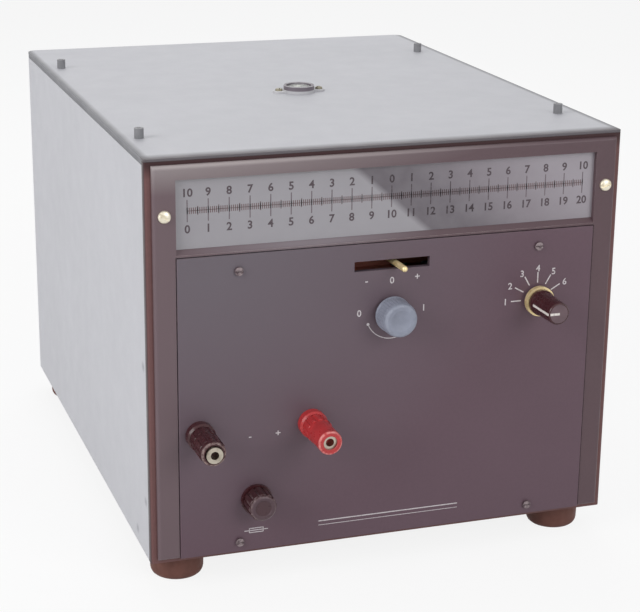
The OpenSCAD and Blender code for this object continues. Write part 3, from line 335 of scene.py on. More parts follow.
def roughen(tree, shader, size_mm, depth_mm, stretch=(1, 1, 1)):
    """A fine bump on the shader's normal."""
    bump = tree.nodes.new("ShaderNodeBump")
    bump.inputs["Strength"].default_value = 1.0
    bump.inputs["Distance"].default_value = depth_mm * MM
    tree.links.new(noise(tree, size_mm, 2.0, stretch), bump.inputs["Height"])
    tree.links.new(bump.outputs["Normal"], shader.inputs["Normal"])


def past(tree, axis, start, depth):
    """A value that goes from 0 at a place on an axis to 1 at some depth beyond it."""
    place = tree.nodes.new("ShaderNodeTexCoord")
    split = tree.nodes.new("ShaderNodeSeparateXYZ")
    tree.links.new(place.outputs["Object"], split.inputs[0])
    return spread(tree, split.outputs[axis], 0, 1, start, start + depth)


def toned_patch(tree, middle, reach, strength):
    """A value that falls from strength in the middle to nothing at the reach along each axis."""
    place = tree.nodes.new("ShaderNodeTexCoord")
    move = tree.nodes.new("ShaderNodeMapping")
    move.inputs["Scale"].default_value = tuple(1 / r for r in reach)
    move.inputs["Location"].default_value = tuple(-m / r for m, r in zip(middle, reach))
    tree.links.new(place.outputs["Object"], move.inputs["Vector"])
    ball = tree.nodes.new("ShaderNodeTexGradient")
    ball.gradient_type = "SPHERICAL"
    tree.links.new(move.outputs["Vector"], ball.inputs["Vector"])
    return spread(tree, ball.outputs["Fac"], 0, strength, 0, 0.8)


def rubbed_edges(tree, chip_mm, start, end):
    """Where the softened edges, marked on the mesh, are rubbed in patches and carry a painted highlight."""
    mark = tree.nodes.new("ShaderNodeAttribute")
    mark.attribute_name = WEAR_AND_HIGHLIGHT
    patches = spread(tree, noise(tree, chip_mm, 4.0), 0, 1, start, end)
    return combine(tree, "MULTIPLY", mark.outputs["Fac"], patches)


print("rubbed edges are read from the attribute:", WEAR_AND_HIGHLIGHT)

# %% [markdown]
# ### Paint
# The sheets are sprayed and stoved. One plain colour would look like paper, so a broad and a fine noise
# vary it, a bump gives the peel, and a list of patches holds the places where the tone differs. Most of
# those patches are painted shade, painted highlights and painted reflections.

# %% Stoved paint
BROAD_MM, FINE_MM, GLOSS_MM, CHIP_MM = 70, 1.4, 12, 5


def paint(name, colour, roughness, uneven=0.05, peel_mm=0.7, peel_depth=0.012, edge=None,
          chips=(0.45, 0.6), patches=(), side=None):
    """Stoved paint on sheet metal: patches of other tones, most of them painted light and shade, a tone for
    what lies past a place on an axis, and the colour of its edges, which is both rubbed paint and a painted
    highlight."""
    made, shader, tree = new_finish(name, roughness)
    shader.inputs["Specular IOR Level"].default_value = 0.35
    broad = noise(tree, BROAD_MM, 3.0)
    fine = noise(tree, FINE_MM, 2.0)
    cloud = combine(tree, "ADD", spread(tree, broad, 0, 0.6), spread(tree, fine, 0, 0.4))
    darker = [c * (1 - uneven) for c in colour]
    lighter = [min(1, c * (1 + uneven)) for c in colour]
    colours = blend_colours(tree, cloud, darker, lighter)
    for tint, middle, reach, strength in patches:
        colours = blend_colours(tree, toned_patch(tree, middle, reach, strength), colours, tint)
    if side:
        tone, axis, start, depth = side
        colours = blend_colours(tree, past(tree, axis, start, depth), colours, tone)
    if edge:
        colours = blend_colours(tree, rubbed_edges(tree, CHIP_MM, *chips), colours, edge)
    tree.links.new(colours, shader.inputs["Base Color"])
    gloss = spread(tree, noise(tree, GLOSS_MM, 4.0), roughness - 0.05, roughness + 0.07)
    tree.links.new(gloss, shader.inputs["Roughness"])
    roughen(tree, shader, peel_mm, peel_depth)
    return made


print("paint varies over", BROAD_MM, "mm and", FINE_MM, "mm")

# %% [markdown]
# ### Print
# Figures and strokes are printed with a screen, so the ink is thin in places. The lamp inside throws a pale
# patch on the left half of the scale, with a slanted edge, and the ink is paler there too. A mask painted
# for that would be tied to one mesh. Here the edge is a straight line in the piece's coordinates, and the
# plate and all its print read the same one.

# %% Ink and the lamp's patch
INK_ROUGHNESS = 0.6
INK_GRAIN_MM = 0.9
PATCH_LEAN = 1.15
PATCH_SHIFT = -0.4 * MM
PATCH_REACH = 100 * MM


def ink(name, colour, ground):
    """Printed marks, a little thin in places so that the ground shows through."""
    made, shader, tree = new_finish(name, INK_ROUGHNESS)
    thin = spread(tree, noise(tree, INK_GRAIN_MM, 4.0), 0, 0.55, 0.5, 0.75)
    tree.links.new(blend_colours(tree, thin, colour, ground), shader.inputs["Base Color"])
    return made


def lamp_patch(tree, line_z, tones):
    """Tones across the slanted edge of the lamp's patch, each with its place from 0 to 1."""
    place = tree.nodes.new("ShaderNodeTexCoord")
    split = tree.nodes.new("ShaderNodeSeparateXYZ")
    tree.links.new(place.outputs["Object"], split.inputs[0])
    lean = tree.nodes.new("ShaderNodeMath")
    lean.operation = "MULTIPLY_ADD"
    lean.inputs[1].default_value = PATCH_LEAN
    tree.links.new(split.outputs["Z"], lean.inputs[0])
    tree.links.new(split.outputs["X"], lean.inputs[2])
    across = tree.nodes.new("ShaderNodeMapRange")
    patch_edge = PATCH_SHIFT + PATCH_LEAN * line_z
    across.inputs["From Min"].default_value = patch_edge - PATCH_REACH
    across.inputs["From Max"].default_value = patch_edge + PATCH_REACH
    tree.links.new(lean.outputs[0], across.inputs["Value"])
    shade = tree.nodes.new("ShaderNodeValToRGB")
    stops = shade.color_ramp.elements
    for stop, (position, colour) in zip(stops, (tones[0], tones[-1])):
        stop.position, stop.color = position, (*colour, 1)
    for position, colour in tones[1:-1]:
        stop = stops.new(position)
        stop.color = (*colour, 1)
    tree.links.new(across.outputs[0], shade.inputs[0])
    return shade.outputs[0]


def scale_print(name, colour, dark, thin_tone, line_z):
    """Ink on the scale, paler under the lamp's patch than in the dark beside it."""
    made, shader, tree = new_finish(name, INK_ROUGHNESS)
    lit = lamp_patch(tree, line_z, (
        (0.0, colour), (0.49, colour), (0.515, dark), (0.66, dark), (0.85, colour)))
    thin = spread(tree, noise(tree, INK_GRAIN_MM, 4.0), 0, 0.5, 0.5, 0.75)
    tree.links.new(blend_colours(tree, thin, lit, thin_tone), shader.inputs["Base Color"])
    return made


print("the patch's edge leans by", round(math.degrees(math.atan(PATCH_LEAN))), "degrees")

# %% [markdown]
# ### Metal and plastic
# Screws and studs are turned, so their scratches run one way: the noise is stretched along that axis. The
# knobs and caps are moulded and keep a faint texture of the mould. Both get an uneven gloss, because an
# even one looks new and thin.


# %% Bare metal and moulded plastic
def metal(name, colour, stain, roughness, scratch_mm=0.12, along=(1, 14, 1), bare=1.0):
    """Bare metal with fine scratches along one axis and dull stains."""
    made, shader, tree = new_finish(name, roughness, bare)
    dull = spread(tree, noise(tree, 3.5, 5.0), 0, 0.7, 0.48, 0.7)
    tree.links.new(blend_colours(tree, dull, colour, stain), shader.inputs["Base Color"])
    gloss = spread(tree, noise(tree, 1.2, 4.0), roughness - 0.08, roughness + 0.14)
    tree.links.new(gloss, shader.inputs["Roughness"])
    roughen(tree, shader, scratch_mm, 0.004, along)
    return made


def moulded(name, colour, roughness, edge, shine=0.5, grain_depth=0.004, face=None):
    """Moulded plastic: nearly even, paler at its marked edges, where it is handled and where a highlight
    is painted, with a faint mould texture and perhaps a front face of another tone."""
    made, shader, tree = new_finish(name, roughness)
    shader.inputs["Specular IOR Level"].default_value = shine
    cloud = spread(tree, noise(tree, 6, 4.0), 0, 1)
    base = blend_colours(tree, cloud, [c * 0.86 for c in colour], [min(1, c * 1.1) for c in colour])
    if face:
        tone, front_y, depth = face
        base = blend_colours(tree, past(tree, "Y", front_y, depth), tone, base)
    worn = blend_colours(tree, rubbed_edges(tree, 1.6, 0.35, 0.6), base, edge)
    tree.links.new(worn, shader.inputs["Base Color"])
    gloss = spread(tree, noise(tree, 2.5, 3.0), roughness - 0.06, roughness + 0.12)
    tree.links.new(gloss, shader.inputs["Roughness"])
    roughen(tree, shader, 0.35, grain_depth)
    return made


print("kinds of finish so far:", [kind.__name__ for kind in (paint, ink, scale_print, metal, moulded)])

# %% [markdown]
# ### The instrument's own finishes
# The model's record gives each node a slot by name, so the finishes are kept under the same names. Colours
# were read off the photograph. The patches are given by tone, middle, reach along each axis and strength:
# the ring has painted shade at its top, the bezel a painted reflection at its left and painted highlights
# along its upper edge and the window's lower edge, and the control plate a painted reflection at its upper
# left.

# %% Finishes by slot
PALE = srgb(190, 190, 195)
PLUM = srgb(96, 75, 85)
BEZEL = srgb(90, 71, 76)
RING = srgb(106, 72, 71)
# The patches on the front are centred a little behind its face, so that they fade evenly over it.
inside_y = -140 * MM
bezel_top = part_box("bezel")[1].z
window_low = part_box("scale_plate")[0].z + 1 * MM
ring_face, ring_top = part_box("front_frame")[0].y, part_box("front_frame")[1].z
finishes = {
    "pale_paint": paint("pale_paint", PALE, 0.5, 0.035, 0.9, 0.016, edge=srgb(210, 210, 212)),
    "frame_paint": paint(
        "frame_paint", RING, 0.42, 0.12, edge=srgb(142, 98, 92), chips=(0.3, 0.55),
        side=(srgb(60, 42, 46), "Y", ring_face + 0.2 * MM, 0.8 * MM),
        # Painted shade: the ring grows darker towards its top, under the lid's front edge.
        patches=[(srgb(54, 26, 29), (0, ring_face, ring_top), (FAR, FAR, 8 * MM), 1.0)]),
    "bezel_paint": paint(
        "bezel_paint", BEZEL, 0.4, 0.07, 0.6, 0.008, edge=srgb(198, 186, 182), chips=(0.3, 0.55),
        patches=[
            # Painted light on the bezel: a paler reflection over its left, a highlight at its top left, a
            # bright line along its upper edge and a highlight along the window's lower edge.
            (srgb(107, 90, 95), (-160 * MM, inside_y, 130 * MM), (260 * MM, 200 * MM, 400 * MM), 1.0),
            (srgb(158, 150, 150), (-125 * MM, inside_y, bezel_top), (170 * MM, 100 * MM, 14 * MM), 0.58),
            (srgb(214, 204, 202), (-100 * MM, inside_y, bezel_top), (190 * MM, 100 * MM, 2.1 * MM), 0.34),
            (srgb(150, 144, 150), (-40 * MM, inside_y, window_low), (65 * MM, 100 * MM, 3 * MM), 0.5)]),
    "panel_paint": paint(
        "panel_paint", PLUM, 0.42, 0.06, 0.6, 0.008, edge=srgb(110, 92, 98),
        patches=[
            # Painted reflection: the plate is greyer towards its upper left.
            (srgb(106, 100, 107), (-100 * MM, inside_y, 190 * MM), (170 * MM, 100 * MM, 170 * MM), 0.8)]),
    "brass": metal("brass", srgb(242, 220, 168), srgb(200, 170, 114), 0.34, bare=0.5),
    "steel": metal("steel", srgb(190, 188, 186), srgb(124, 120, 118), 0.36),
    "black_oxide": metal("black_oxide", srgb(74, 72, 76), srgb(44, 42, 44), 0.45),
    "rubber": moulded("rubber", srgb(107, 71, 63), 0.62, srgb(128, 95, 86), 0.25, 0.015),
    "black_plastic": moulded("black_plastic", srgb(64, 29, 33), 0.24, srgb(140, 118, 114), 0.4, 0.0012),
    "red_plastic": moulded("red_plastic", srgb(184, 50, 52), 0.3, srgb(216, 126, 122), 0.5, 0.0012),
    "grey_plastic": moulded("grey_plastic", srgb(138, 142, 157), 0.44, srgb(146, 150, 164), 0.4),
    "level_body": paint("level_body", srgb(190, 189, 192), 0.42, 0.03, edge=srgb(230, 230, 228)),
    "casting": metal("casting", srgb(176, 175, 172), srgb(128, 126, 122), 0.5, 0.8, (1, 1, 1)),
    "iron": metal("iron", srgb(112, 114, 118), srgb(78, 74, 72), 0.52, 0.6, (1, 1, 1)),
    "magnet": paint("magnet", srgb(128, 52, 44), 0.45),
    "winding": metal("winding", srgb(178, 106, 62), srgb(120, 66, 40), 0.4, 0.25, (14, 1, 1)),
    "laminate": moulded("laminate", srgb(150, 104, 62), 0.5, srgb(176, 132, 90)),
}
print("painted, metal and plastic finishes:", len(finishes))

# %% [markdown]
# ### Opal, glass and mirror
# The scale plate is frosted and milky. Real translucency would need a lamp inside for every view, so the
# patch of light is part of its colour. The level's glass is a thin pane rather than a solid lens: a solid
# one would shade the floor below it.


# %% Opal scale, glass and mirror
def opal(name, line_z):
    """The frosted scale plate: milky, with the lamp's pale patch thrown on its left half."""
    made, shader, tree = new_finish(name, 0.3)
    shader.inputs["Coat Weight"].default_value = 0.3
    shader.inputs["Coat Roughness"].default_value = 0.12
    pale = srgb(152, 149, 154)
    shade = lamp_patch(tree, line_z, (
        (0.0, pale), (0.49, pale), (0.515, srgb(95, 88, 95)), (0.62, srgb(100, 93, 100)),
        (0.78, srgb(130, 122, 129)), (1.0, srgb(154, 147, 154))))
    milk = spread(tree, noise(tree, 9, 4.0), 0, 0.12)
    milky = blend_colours(tree, milk, shade, srgb(170, 168, 172))
    tree.links.new(milky, shader.inputs["Base Color"])
    roughen(tree, shader, 0.5, 0.004)
    return made


def clear(name, tint, cover=1.0):
    """Clear glass; with a cover below 1 it is a thin pane that lets light through to what lies under it."""
    made, shader, tree = new_finish(name, 0.05)
    if cover < 1:
        shader.inputs["Alpha"].default_value = cover
    else:
        shader.inputs["Transmission Weight"].default_value = 0.92
    haze = spread(tree, noise(tree, 4, 3.0), 0, 0.3)
    hazy = blend_colours(tree, haze, tint, [c * 0.85 for c in tint])
    tree.links.new(hazy, shader.inputs["Base Color"])
    return made


plate_low, plate_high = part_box("scale_plate")
scale_line = (plate_low.z + plate_high.z) / 2
finishes["scale"] = opal("scale", scale_line)
finishes["glass"] = clear("glass", srgb(236, 242, 244))
finishes["level_glass"] = clear("level_glass", srgb(214, 216, 212), 0.3)
finishes["mirror"] = metal("mirror", srgb(226, 229, 232), srgb(206, 208, 210), 0.06, 2.0, (1, 1, 1))
print("finishes in all:", len(finishes))

# %% [markdown]
# ## Nodes that keep their shape
# Most of the model already has its final form, so a new mesh would add nothing. Each node takes the finish
# of its material slot. A few differ from their slot: the rails under the lid are grey, the inlet is black,
# the studs are nickel, and what stands behind the zero slot has a red primer that shows through it, painted
# much paler than it is as a stand-in for light inside the shaded slot.

# %% Give every node its finish
slot_of = {row["node"]: row["material_slot"] for row in frame["record"]["subparts"]}
for node, part in frame["nodes"].items():
    for place in part.material_slots:
        place.material = finishes[slot_of[node]]
RAIL_GREY = paint("rail_grey", srgb(112, 112, 116), 0.5)
frame["nodes"]["side_rails"].material_slots[0].material = RAIL_GREY
# The primer is painted much paler than a red primer is; the lift stands in for light in the shaded slot.
PRIMER_PAINTED_LIGHT = paint("red_primer_painted_light", srgb(214, 138, 122), 0.7)
for node in ("movement_plates", "clamp_guide", "movement_pillars", "torsion_head"):
    frame["nodes"][node].material_slots[0].material = PRIMER_PAINTED_LIGHT
INLET_BLACK = moulded("inlet_black", srgb(36, 35, 37), 0.35, srgb(70, 69, 71))
frame["nodes"]["mains_inlet"].material_slots[0].material = INLET_BLACK
NICKEL = metal("nickel", srgb(186, 178, 164), srgb(128, 118, 104), 0.32)
frame["nodes"]["terminal_studs"].material_slots[0].material = NICKEL
print("nodes with a finish:", len(frame["nodes"]))

# %% [markdown]
# ## Softened sheet metal
# Bent and painted sheet never ends in a knife edge: the paint rounds it, and that round catches the
# light. A Bevel modifier would round every hole and vent too, so picked edges of a merged copy are bevelled
# by an operator. Slanted lines that run into a corner would spoil the bevel and pull the shading into
# wedges, so each sheet first gets a square border.

# %% Merge a copy and square its border
BORDER = 3 * MM
FLAT_ANGLE = math.radians(0.5)


def merged_copy(node, name):
    """A copy of a node's mesh with its loose triangles joined into clean faces."""
    piece = bpy.data.objects.new(name, frame["nodes"][node].data.copy())
    bpy.context.collection.objects.link(piece)
    only(piece)
    bpy.ops.mesh.customdata_custom_splitnormals_clear()
    edit(piece)
    bpy.ops.mesh.select_all(action="SELECT")
    bpy.ops.mesh.remove_doubles(threshold=0.002 * MM)
    bpy.ops.mesh.dissolve_limited(angle_limit=FLAT_ANGLE)
    finish_edit()
    return piece


def square_border(piece):
    """Cut lines inside a sheet's outer edges and clear the slanted lines outside them, so that none
    of these runs into a corner that is bevelled later."""
    corners = [Vector(c) for c in piece.bound_box]
    low = [min(c[axis] for c in corners) for axis in range(3)]
    high = [max(c[axis] for c in corners) for axis in range(3)]
    broad = [axis for axis in range(3) if high[axis] - low[axis] > 10 * BORDER]
    edit(piece, "EDGE")
    for axis in broad:
        for place in (low[axis] + BORDER, high[axis] - BORDER):
            bpy.ops.mesh.select_all(action="SELECT")
            across = [float(i == axis) for i in range(3)]
            bpy.ops.mesh.bisect(plane_co=[place * part for part in across], plane_no=across)
    bpy.ops.mesh.select_all(action="DESELECT")
    mesh = bmesh.from_edit_mesh(piece.data)
    for edge in mesh.edges:
        middle = (edge.verts[0].co + edge.verts[1].co) / 2
        run = (edge.verts[1].co - edge.verts[0].co).normalized()
        flat = edge.is_manifold and edge.calc_face_angle(1) < FLAT_ANGLE
        slanted = max(abs(part) for part in run) < 0.9999
        outside = any(middle[a] < low[a] + BORDER or middle[a] > high[a] - BORDER for a in broad)
        edge.select_set(flat and slanted and outside)
    bpy.ops.mesh.dissolve_edges(use_verts=False)
    finish_edit()


print("loose triangles of the lid:", len(frame["nodes"]["lid"].data.polygons))

# %% [markdown]
# ### Bevel and marks
# Paint wears through first along the middle of a rounded edge, and a highlight is painted there too. A
# shader can look for edges by itself, but it is slow and finds the hidden ones too. The bevel's middle row
# of points is known right after the operator, so it is marked on the mesh at once.

# %% Bevel and mark
BEVEL_ROWS = 2


def rubbed_marks(piece):
    """The mesh's marks for points of wear and painted highlight, which are made at the first call."""
    kept = piece.data.attributes
    return kept.get(WEAR_AND_HIGHLIGHT) or kept.new(WEAR_AND_HIGHLIGHT, "FLOAT", "POINT")


def soften(piece, width_mm, wanted, sharper_than=25):
    """Bevel the picked edges and mark the bevel's middle row for wear and a painted highlight."""
    pick_edges(piece, wanted, sharper_than)
    bpy.ops.mesh.bevel(
        offset=width_mm * MM, segments=BEVEL_ROWS, profile=0.5, affect="EDGES", clamp_overlap=True)
    mesh = bmesh.from_edit_mesh(piece.data)
    narrow = width_mm * MM * max(piece.dimensions)
    middle = []
    for v in mesh.verts:
        if v.link_faces and all(f.select and f.calc_area() < narrow for f in v.link_faces):
            middle.append(v.index)
    finish_edit()
    marks = rubbed_marks(piece)
    for index in middle:
        marks.data[index].value = 1.0
    return len(middle)


def outer(node, reach_mm):
    """A test for edges that lie on the outside of a node's box in two directions."""
    low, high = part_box(node)

    def near_outside(middle):
        hits = 0
        for axis in range(3):
            if middle[axis] - low[axis] < reach_mm * MM or high[axis] - middle[axis] < reach_mm * MM:
                hits += 1
        return hits >= 2

    return near_outside


print("edges of the lid before it is merged:", len(frame["nodes"]["lid"].data.edges))

# %% [markdown]
# ### Handing a piece over
# Every finished piece goes through the same last steps: its place is kept in the mesh, it is shaded smooth
# below an angle, and it is told which body it moves with; the node it stands for is hidden. Normals are
# weighted by area, which keeps a large flat face even right up to its rounded edge.

# %% Settle a piece on its body
SMOOTH_BELOW = math.radians(35)


def settle(piece, body, slot, finish, *stands_for):
    """Fix a finished piece at the origin, give it its finish and let it ride on its body."""
    only(piece)
    bpy.ops.object.transform_apply(location=True, rotation=True, scale=True)
    piece.data.materials.clear()
    piece.data.materials.append(finish)
    bpy.ops.object.shade_smooth_by_angle(angle=SMOOTH_BELOW)
    even = piece.modifiers.new("even", "WEIGHTED_NORMAL")
    even.keep_sharp = True
    bpy.ops.object.modifier_apply(modifier="even")
    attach(piece, body)
    if stands_for:
        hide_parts(*stands_for)


print("smooth below:", round(math.degrees(SMOOTH_BELOW)), "degrees")

# %% [markdown]
# ### Lid, sides and rear
# The lid has painted shade: grey along its two sides and darker along the front. The side panels show
# faint marks where studs are welded on inside. Nothing stands proud there, so all of these are patches in
# the paint.

# %% Lid, side panels and rear panel
# Painted shade: grey bands along the lid's two sides and a darker band along its front.
LID_SIDE_SHADE = srgb(116, 116, 120)
LID_FRONT_SHADE = srgb(88, 82, 86)
lid_low, lid_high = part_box("lid")
lid_shade = [(LID_SIDE_SHADE, (x, 0, lid_high.z), (3.8 * MM, FAR, FAR), 0.95) for x in (lid_low.x, lid_high.x)]
lid_shade.append((LID_FRONT_SHADE, (0, lid_low.y, lid_high.z), (FAR, 9 * MM, FAR), 0.95))
lid_paint = paint("lid_paint", PALE, 0.5, 0.035, 0.9, 0.016, patches=lid_shade)

WELD_GREY = srgb(142, 142, 150)
side_low, side_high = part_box("left_side_panel")
weld_places = [
    (side_low.y + 5 * MM, (side_low.z + side_high.z) / 2),
    (side_low.y + 5 * MM, side_low.z + 29 * MM),
    (side_low.y + 24 * MM, side_low.z + 7 * MM)]
weld_marks = [(WELD_GREY, (0, y, z), (FAR, 3.5 * MM, 3 * MM), 0.8) for y, z in weld_places]
side_paint = paint(
    "side_paint", PALE, 0.5, 0.035, 0.9, 0.016, edge=srgb(210, 210, 212), patches=weld_marks)
for node, width, finish in (
    ("lid", 0.45, lid_paint),
    ("left_side_panel", 0.4, side_paint),
    ("right_side_panel", 0.4, side_paint),
    ("rear_panel", 0.4, finishes["pale_paint"]),
):
    sheet = merged_copy(node, node + "_sheet")
    square_border(sheet)
    rows = soften(sheet, width, outer(node, 1.6))
    settle(sheet, "cabinet", "pale_paint", finish, node)
    print(sheet.name, "marked points:", rows)

# %% [markdown]
# ## Front ring, bezel and control plate
# The dark ring frames the front. The bezel lies on it round the scale, and the control plate below is a
# sheet of its own with a fine seam. All three show a thin bright line on their edges, painted as rubbed
# paint and as a highlight. They are softened like the lid, but only along the edges that face the viewer.

# %% Soften the front
bezel_screw_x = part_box("brass_screws")[1].x - 3 * MM


def round_window(middle):
    """The bezel's edges, but not those of its two screw holes."""
    return abs(abs(middle.x) - bezel_screw_x) > 3 * MM


for node, name, width, slot, wanted in (
    ("front_frame", "front_ring", 0.8, "frame_paint", outer("front_frame", 1.0)),
    ("bezel", "scale_bezel", 0.7, "bezel_paint", round_window),
    ("control_panel", "control_plate", 0.3, "panel_paint", outer("control_panel", 1.0)),
):
    sheet = merged_copy(node, name)
    square_border(sheet)
    front_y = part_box(node)[0].y
    rows = soften(sheet, width, lambda middle: middle.y < front_y + 0.3 * MM and wanted(middle))
    settle(sheet, "cabinet", slot, finishes[slot], node)
    print(name, "marked points:", rows)

# %% [markdown]
# ## The printed scale
# Two hundred millimetres are printed on the plate: a row of short strokes along a line, a long stroke
# for every centimetre, figures from the middle outwards above and from left to right below. An image would
# blur close up. So one stroke is modelled as a thin block, sunk a little into the plate so that no gap
# shows, and repeated with an Array modifier.

# %% Printed blocks and rows of them
PRINT_PROUD = 0.03 * MM
PRINT_SUNK = 0.02 * MM
PRINT_CHAMFER = 0.02 * MM


def print_block(name, middle_x, middle_z, width, height, face_y):
    """A thin printed block on a face that looks towards -Y, with its corners taken off."""
    bpy.ops.object.select_all(action="DESELECT")
    depth = PRINT_PROUD + PRINT_SUNK
    place = (middle_x, face_y + PRINT_SUNK - depth / 2, middle_z)
    bpy.ops.mesh.primitive_cube_add(size=1, location=place, scale=(width, depth, height))
    block = bpy.context.object
    block.name = name
    bpy.ops.object.transform_apply(location=True, rotation=True, scale=True)
    pick_faces(block, lambda centre, normal: normal.y < -0.9)
    bpy.ops.transform.resize(value=(1 - PRINT_CHAMFER / width, 1, 1 - PRINT_CHAMFER / height))
    finish_edit()
    return block


def repeat(piece, count, step):
    """Copies of a piece along X, made by an Array modifier that is applied."""
    only(piece)
    row = piece.modifiers.new("row", "ARRAY")
    row.use_relative_offset = False
    row.use_constant_offset = True
    row.constant_offset_displace = (step, 0, 0)
    row.count = count
    bpy.ops.object.modifier_apply(modifier="row")
    return piece


def joined(name, parts):
    """Several pieces joined into the first."""
    only(parts[0])
    for part in parts[1:]:
        part.select_set(True)
    bpy.ops.object.join()
    parts[0].name = name
    return parts[0]


print("print stands proud by", round(PRINT_PROUD / MM, 2), "mm")

# %% Strokes of the scale
CENTIMETRE = 10 * MM
SCALE_CM = 20
FINE_W, FINE_H = 0.5 * MM, 3.0 * MM
HALF_W, HALF_H = 0.45 * MM, 4.2 * MM
LONG_W, LONG_H = 0.5 * MM, 10.6 * MM
BASE_H = 0.3 * MM
stroke_ink = scale_print(
    "stroke_ink", srgb(104, 92, 98), srgb(62, 51, 57), srgb(120, 112, 118), scale_line)
line_ink = scale_print(
    "line_ink", srgb(112, 93, 95), srgb(64, 47, 51), srgb(124, 108, 112), scale_line)
scale_face = plate_low.y
print_line = scale_line + 1.4 * MM
left_end = -SCALE_CM / 2 * CENTIMETRE
fine = print_block("fine", left_end, print_line, FINE_W, FINE_H, scale_face)
fine = repeat(fine, SCALE_CM * 10 + 1, MM)
half = print_block("half", left_end + CENTIMETRE / 2, print_line, HALF_W, HALF_H, scale_face)
half = repeat(half, SCALE_CM, CENTIMETRE)
base = print_block("base", 0, print_line, SCALE_CM * CENTIMETRE, BASE_H, scale_face)
scale_strokes = joined("scale_strokes", [base, fine, half])
settle(scale_strokes, "cabinet", "scale", line_ink)
long_strokes = print_block("long_strokes", left_end, print_line, LONG_W, LONG_H, scale_face)
long_strokes = repeat(long_strokes, SCALE_CM + 1, CENTIMETRE)
settle(long_strokes, "cabinet", "scale", stroke_ink)
print("strokes:", len(scale_strokes.data.vertices) // 8 + SCALE_CM + 1)

# %% [markdown]
# ### Figures
# Figures are text objects turned into meshes. As text they would need their font again in every file that
# uses the part; as meshes they travel with it. A small offset makes the lines as bold as the printed ones.

# %% Figures of the scale
HEIGHT_OF_SIZE = 0.69


def figure(text, middle_x, middle_z, height, face_y, bolder=0.06):
    """A figure as a thin mesh on a face that looks towards -Y, its lines made bolder by some mm."""
    bpy.ops.object.select_all(action="DESELECT")
    bpy.ops.object.text_add()
    made = bpy.context.object
    made.data.body = text
    made.data.size = height / HEIGHT_OF_SIZE
    made.data.align_x = "CENTER"
    made.data.extrude = (PRINT_PROUD + PRINT_SUNK) / 2
    made.data.offset = bolder * MM
    made.data.resolution_u = 3
    bpy.ops.object.convert(target="MESH")
    made = bpy.context.object
    made.rotation_euler = (math.radians(90), 0, 0)
    made.location = (middle_x, face_y + (PRINT_SUNK - PRINT_PROUD) / 2, middle_z - height / 2)
    bpy.ops.object.transform_apply(location=True, rotation=True, scale=True)
    return made


FIGURE_HEIGHT = 3.7 * MM
FIGURE_RISE = 8.6 * MM
FIGURE_BOLDER = 0.14
scale_ink = scale_print(
    "scale_ink", srgb(78, 66, 72), srgb(50, 39, 45), srgb(108, 100, 106), scale_line)
figures = []
for mark in range(SCALE_CM + 1):
    x = left_end + mark * CENTIMETRE
    outwards = str(abs(mark - SCALE_CM // 2))
    for label, rise in ((outwards, FIGURE_RISE), (str(mark), -FIGURE_RISE)):
        figures.append(figure(label, x, print_line + rise, FIGURE_HEIGHT, scale_face, FIGURE_BOLDER))
scale_figures = joined("scale_figures", figures)
settle(scale_figures, "cabinet", "scale", scale_ink)
print("figures:", len(figures))

# %% [markdown]
# ## Turned and fluted pieces
# Knobs, caps, screws and feet are turned shapes. A Screw modifier could spin a profile, but it can't make
# flutes. So a disc is extruded step by step out of the front plane and scaled at each step, as one would do
# by hand. For a fluted piece the rim of the first disc is drawn in at even places before it is extruded.


# %% Turning by extrusion
def turned(name, axis_x, axis_z, steps, sides=96, flutes=0, flute_depth=0.0):
    """A closed turned piece along -Y; each step is a radius and a place along Y, back to front."""
    first_radius, first_y = steps[0]
    bpy.ops.object.select_all(action="DESELECT")
    bpy.ops.mesh.primitive_circle_add(
        vertices=sides, radius=first_radius, fill_type="NGON",
        location=(axis_x, first_y, axis_z), rotation=(math.radians(90), 0, 0))
    piece = bpy.context.object
    piece.name = name
    bpy.ops.object.transform_apply(location=True, rotation=True, scale=True)
    if flutes:
        mesh = edit(piece, "VERT")
        for v in mesh.verts:
            around = math.atan2(v.co.z - axis_z, v.co.x - axis_x) * flutes / (2 * math.pi) % 1
            v.select_set(0.3 < around < 0.7)
        bmesh.update_edit_mesh(piece.data)
        shrink = 1 - flute_depth / first_radius
        bpy.ops.transform.resize(value=(shrink, 1, shrink), center_override=(axis_x, first_y, axis_z))
        finish_edit()
    pick_faces(piece, lambda centre, normal: True)
    radius, y = first_radius, first_y
    for next_radius, next_y in steps[1:]:
        bpy.ops.mesh.extrude_region_move(TRANSFORM_OT_translate={"value": (0, next_y - y, 0)})
        if next_radius != radius:
            share = next_radius / radius
            bpy.ops.transform.resize(value=(share, 1, share), center_override=(axis_x, next_y, axis_z))
        radius, y = next_radius, next_y
    bpy.ops.mesh.select_all(action="SELECT")
    bpy.ops.mesh.normals_make_consistent(inside=False)
    finish_edit()
    return piece


def edge_marks(piece, axis_x, axis_z, radius, front_y, depth_mm):
    """Mark the points of the rim near the front as worn by fingers and plugs and as a painted highlight."""
    marks = rubbed_marks(piece)
    for vertex in piece.data.vertices:
        away = math.hypot(vertex.co.x - axis_x, vertex.co.z - axis_z)
        on_rim = away > radius and vertex.co.y < front_y + depth_mm * MM
        marks.data[vertex.index].value = 1.0 if on_rim else 0.0


def middle_of(node):
    """The middle of a node's box."""
    low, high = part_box(node)
    return (low + high) / 2


trial = turned("trial", 0, 0, [(5 * MM, 0), (5 * MM, -2 * MM), (4 * MM, -3 * MM)])
print("a trial disc has", len(trial.data.polygons), "faces")
bpy.data.objects.remove(trial)

# %% [markdown]
# ## The lock knob
# The blue-grey knob has a ribbed grip, a rounded front edge and a shallow dish in its face. The ribs could
# be cut with a boolean, but so many cuts leave slivers. A ribbed band is turned on its own instead and set
# round a plain core.

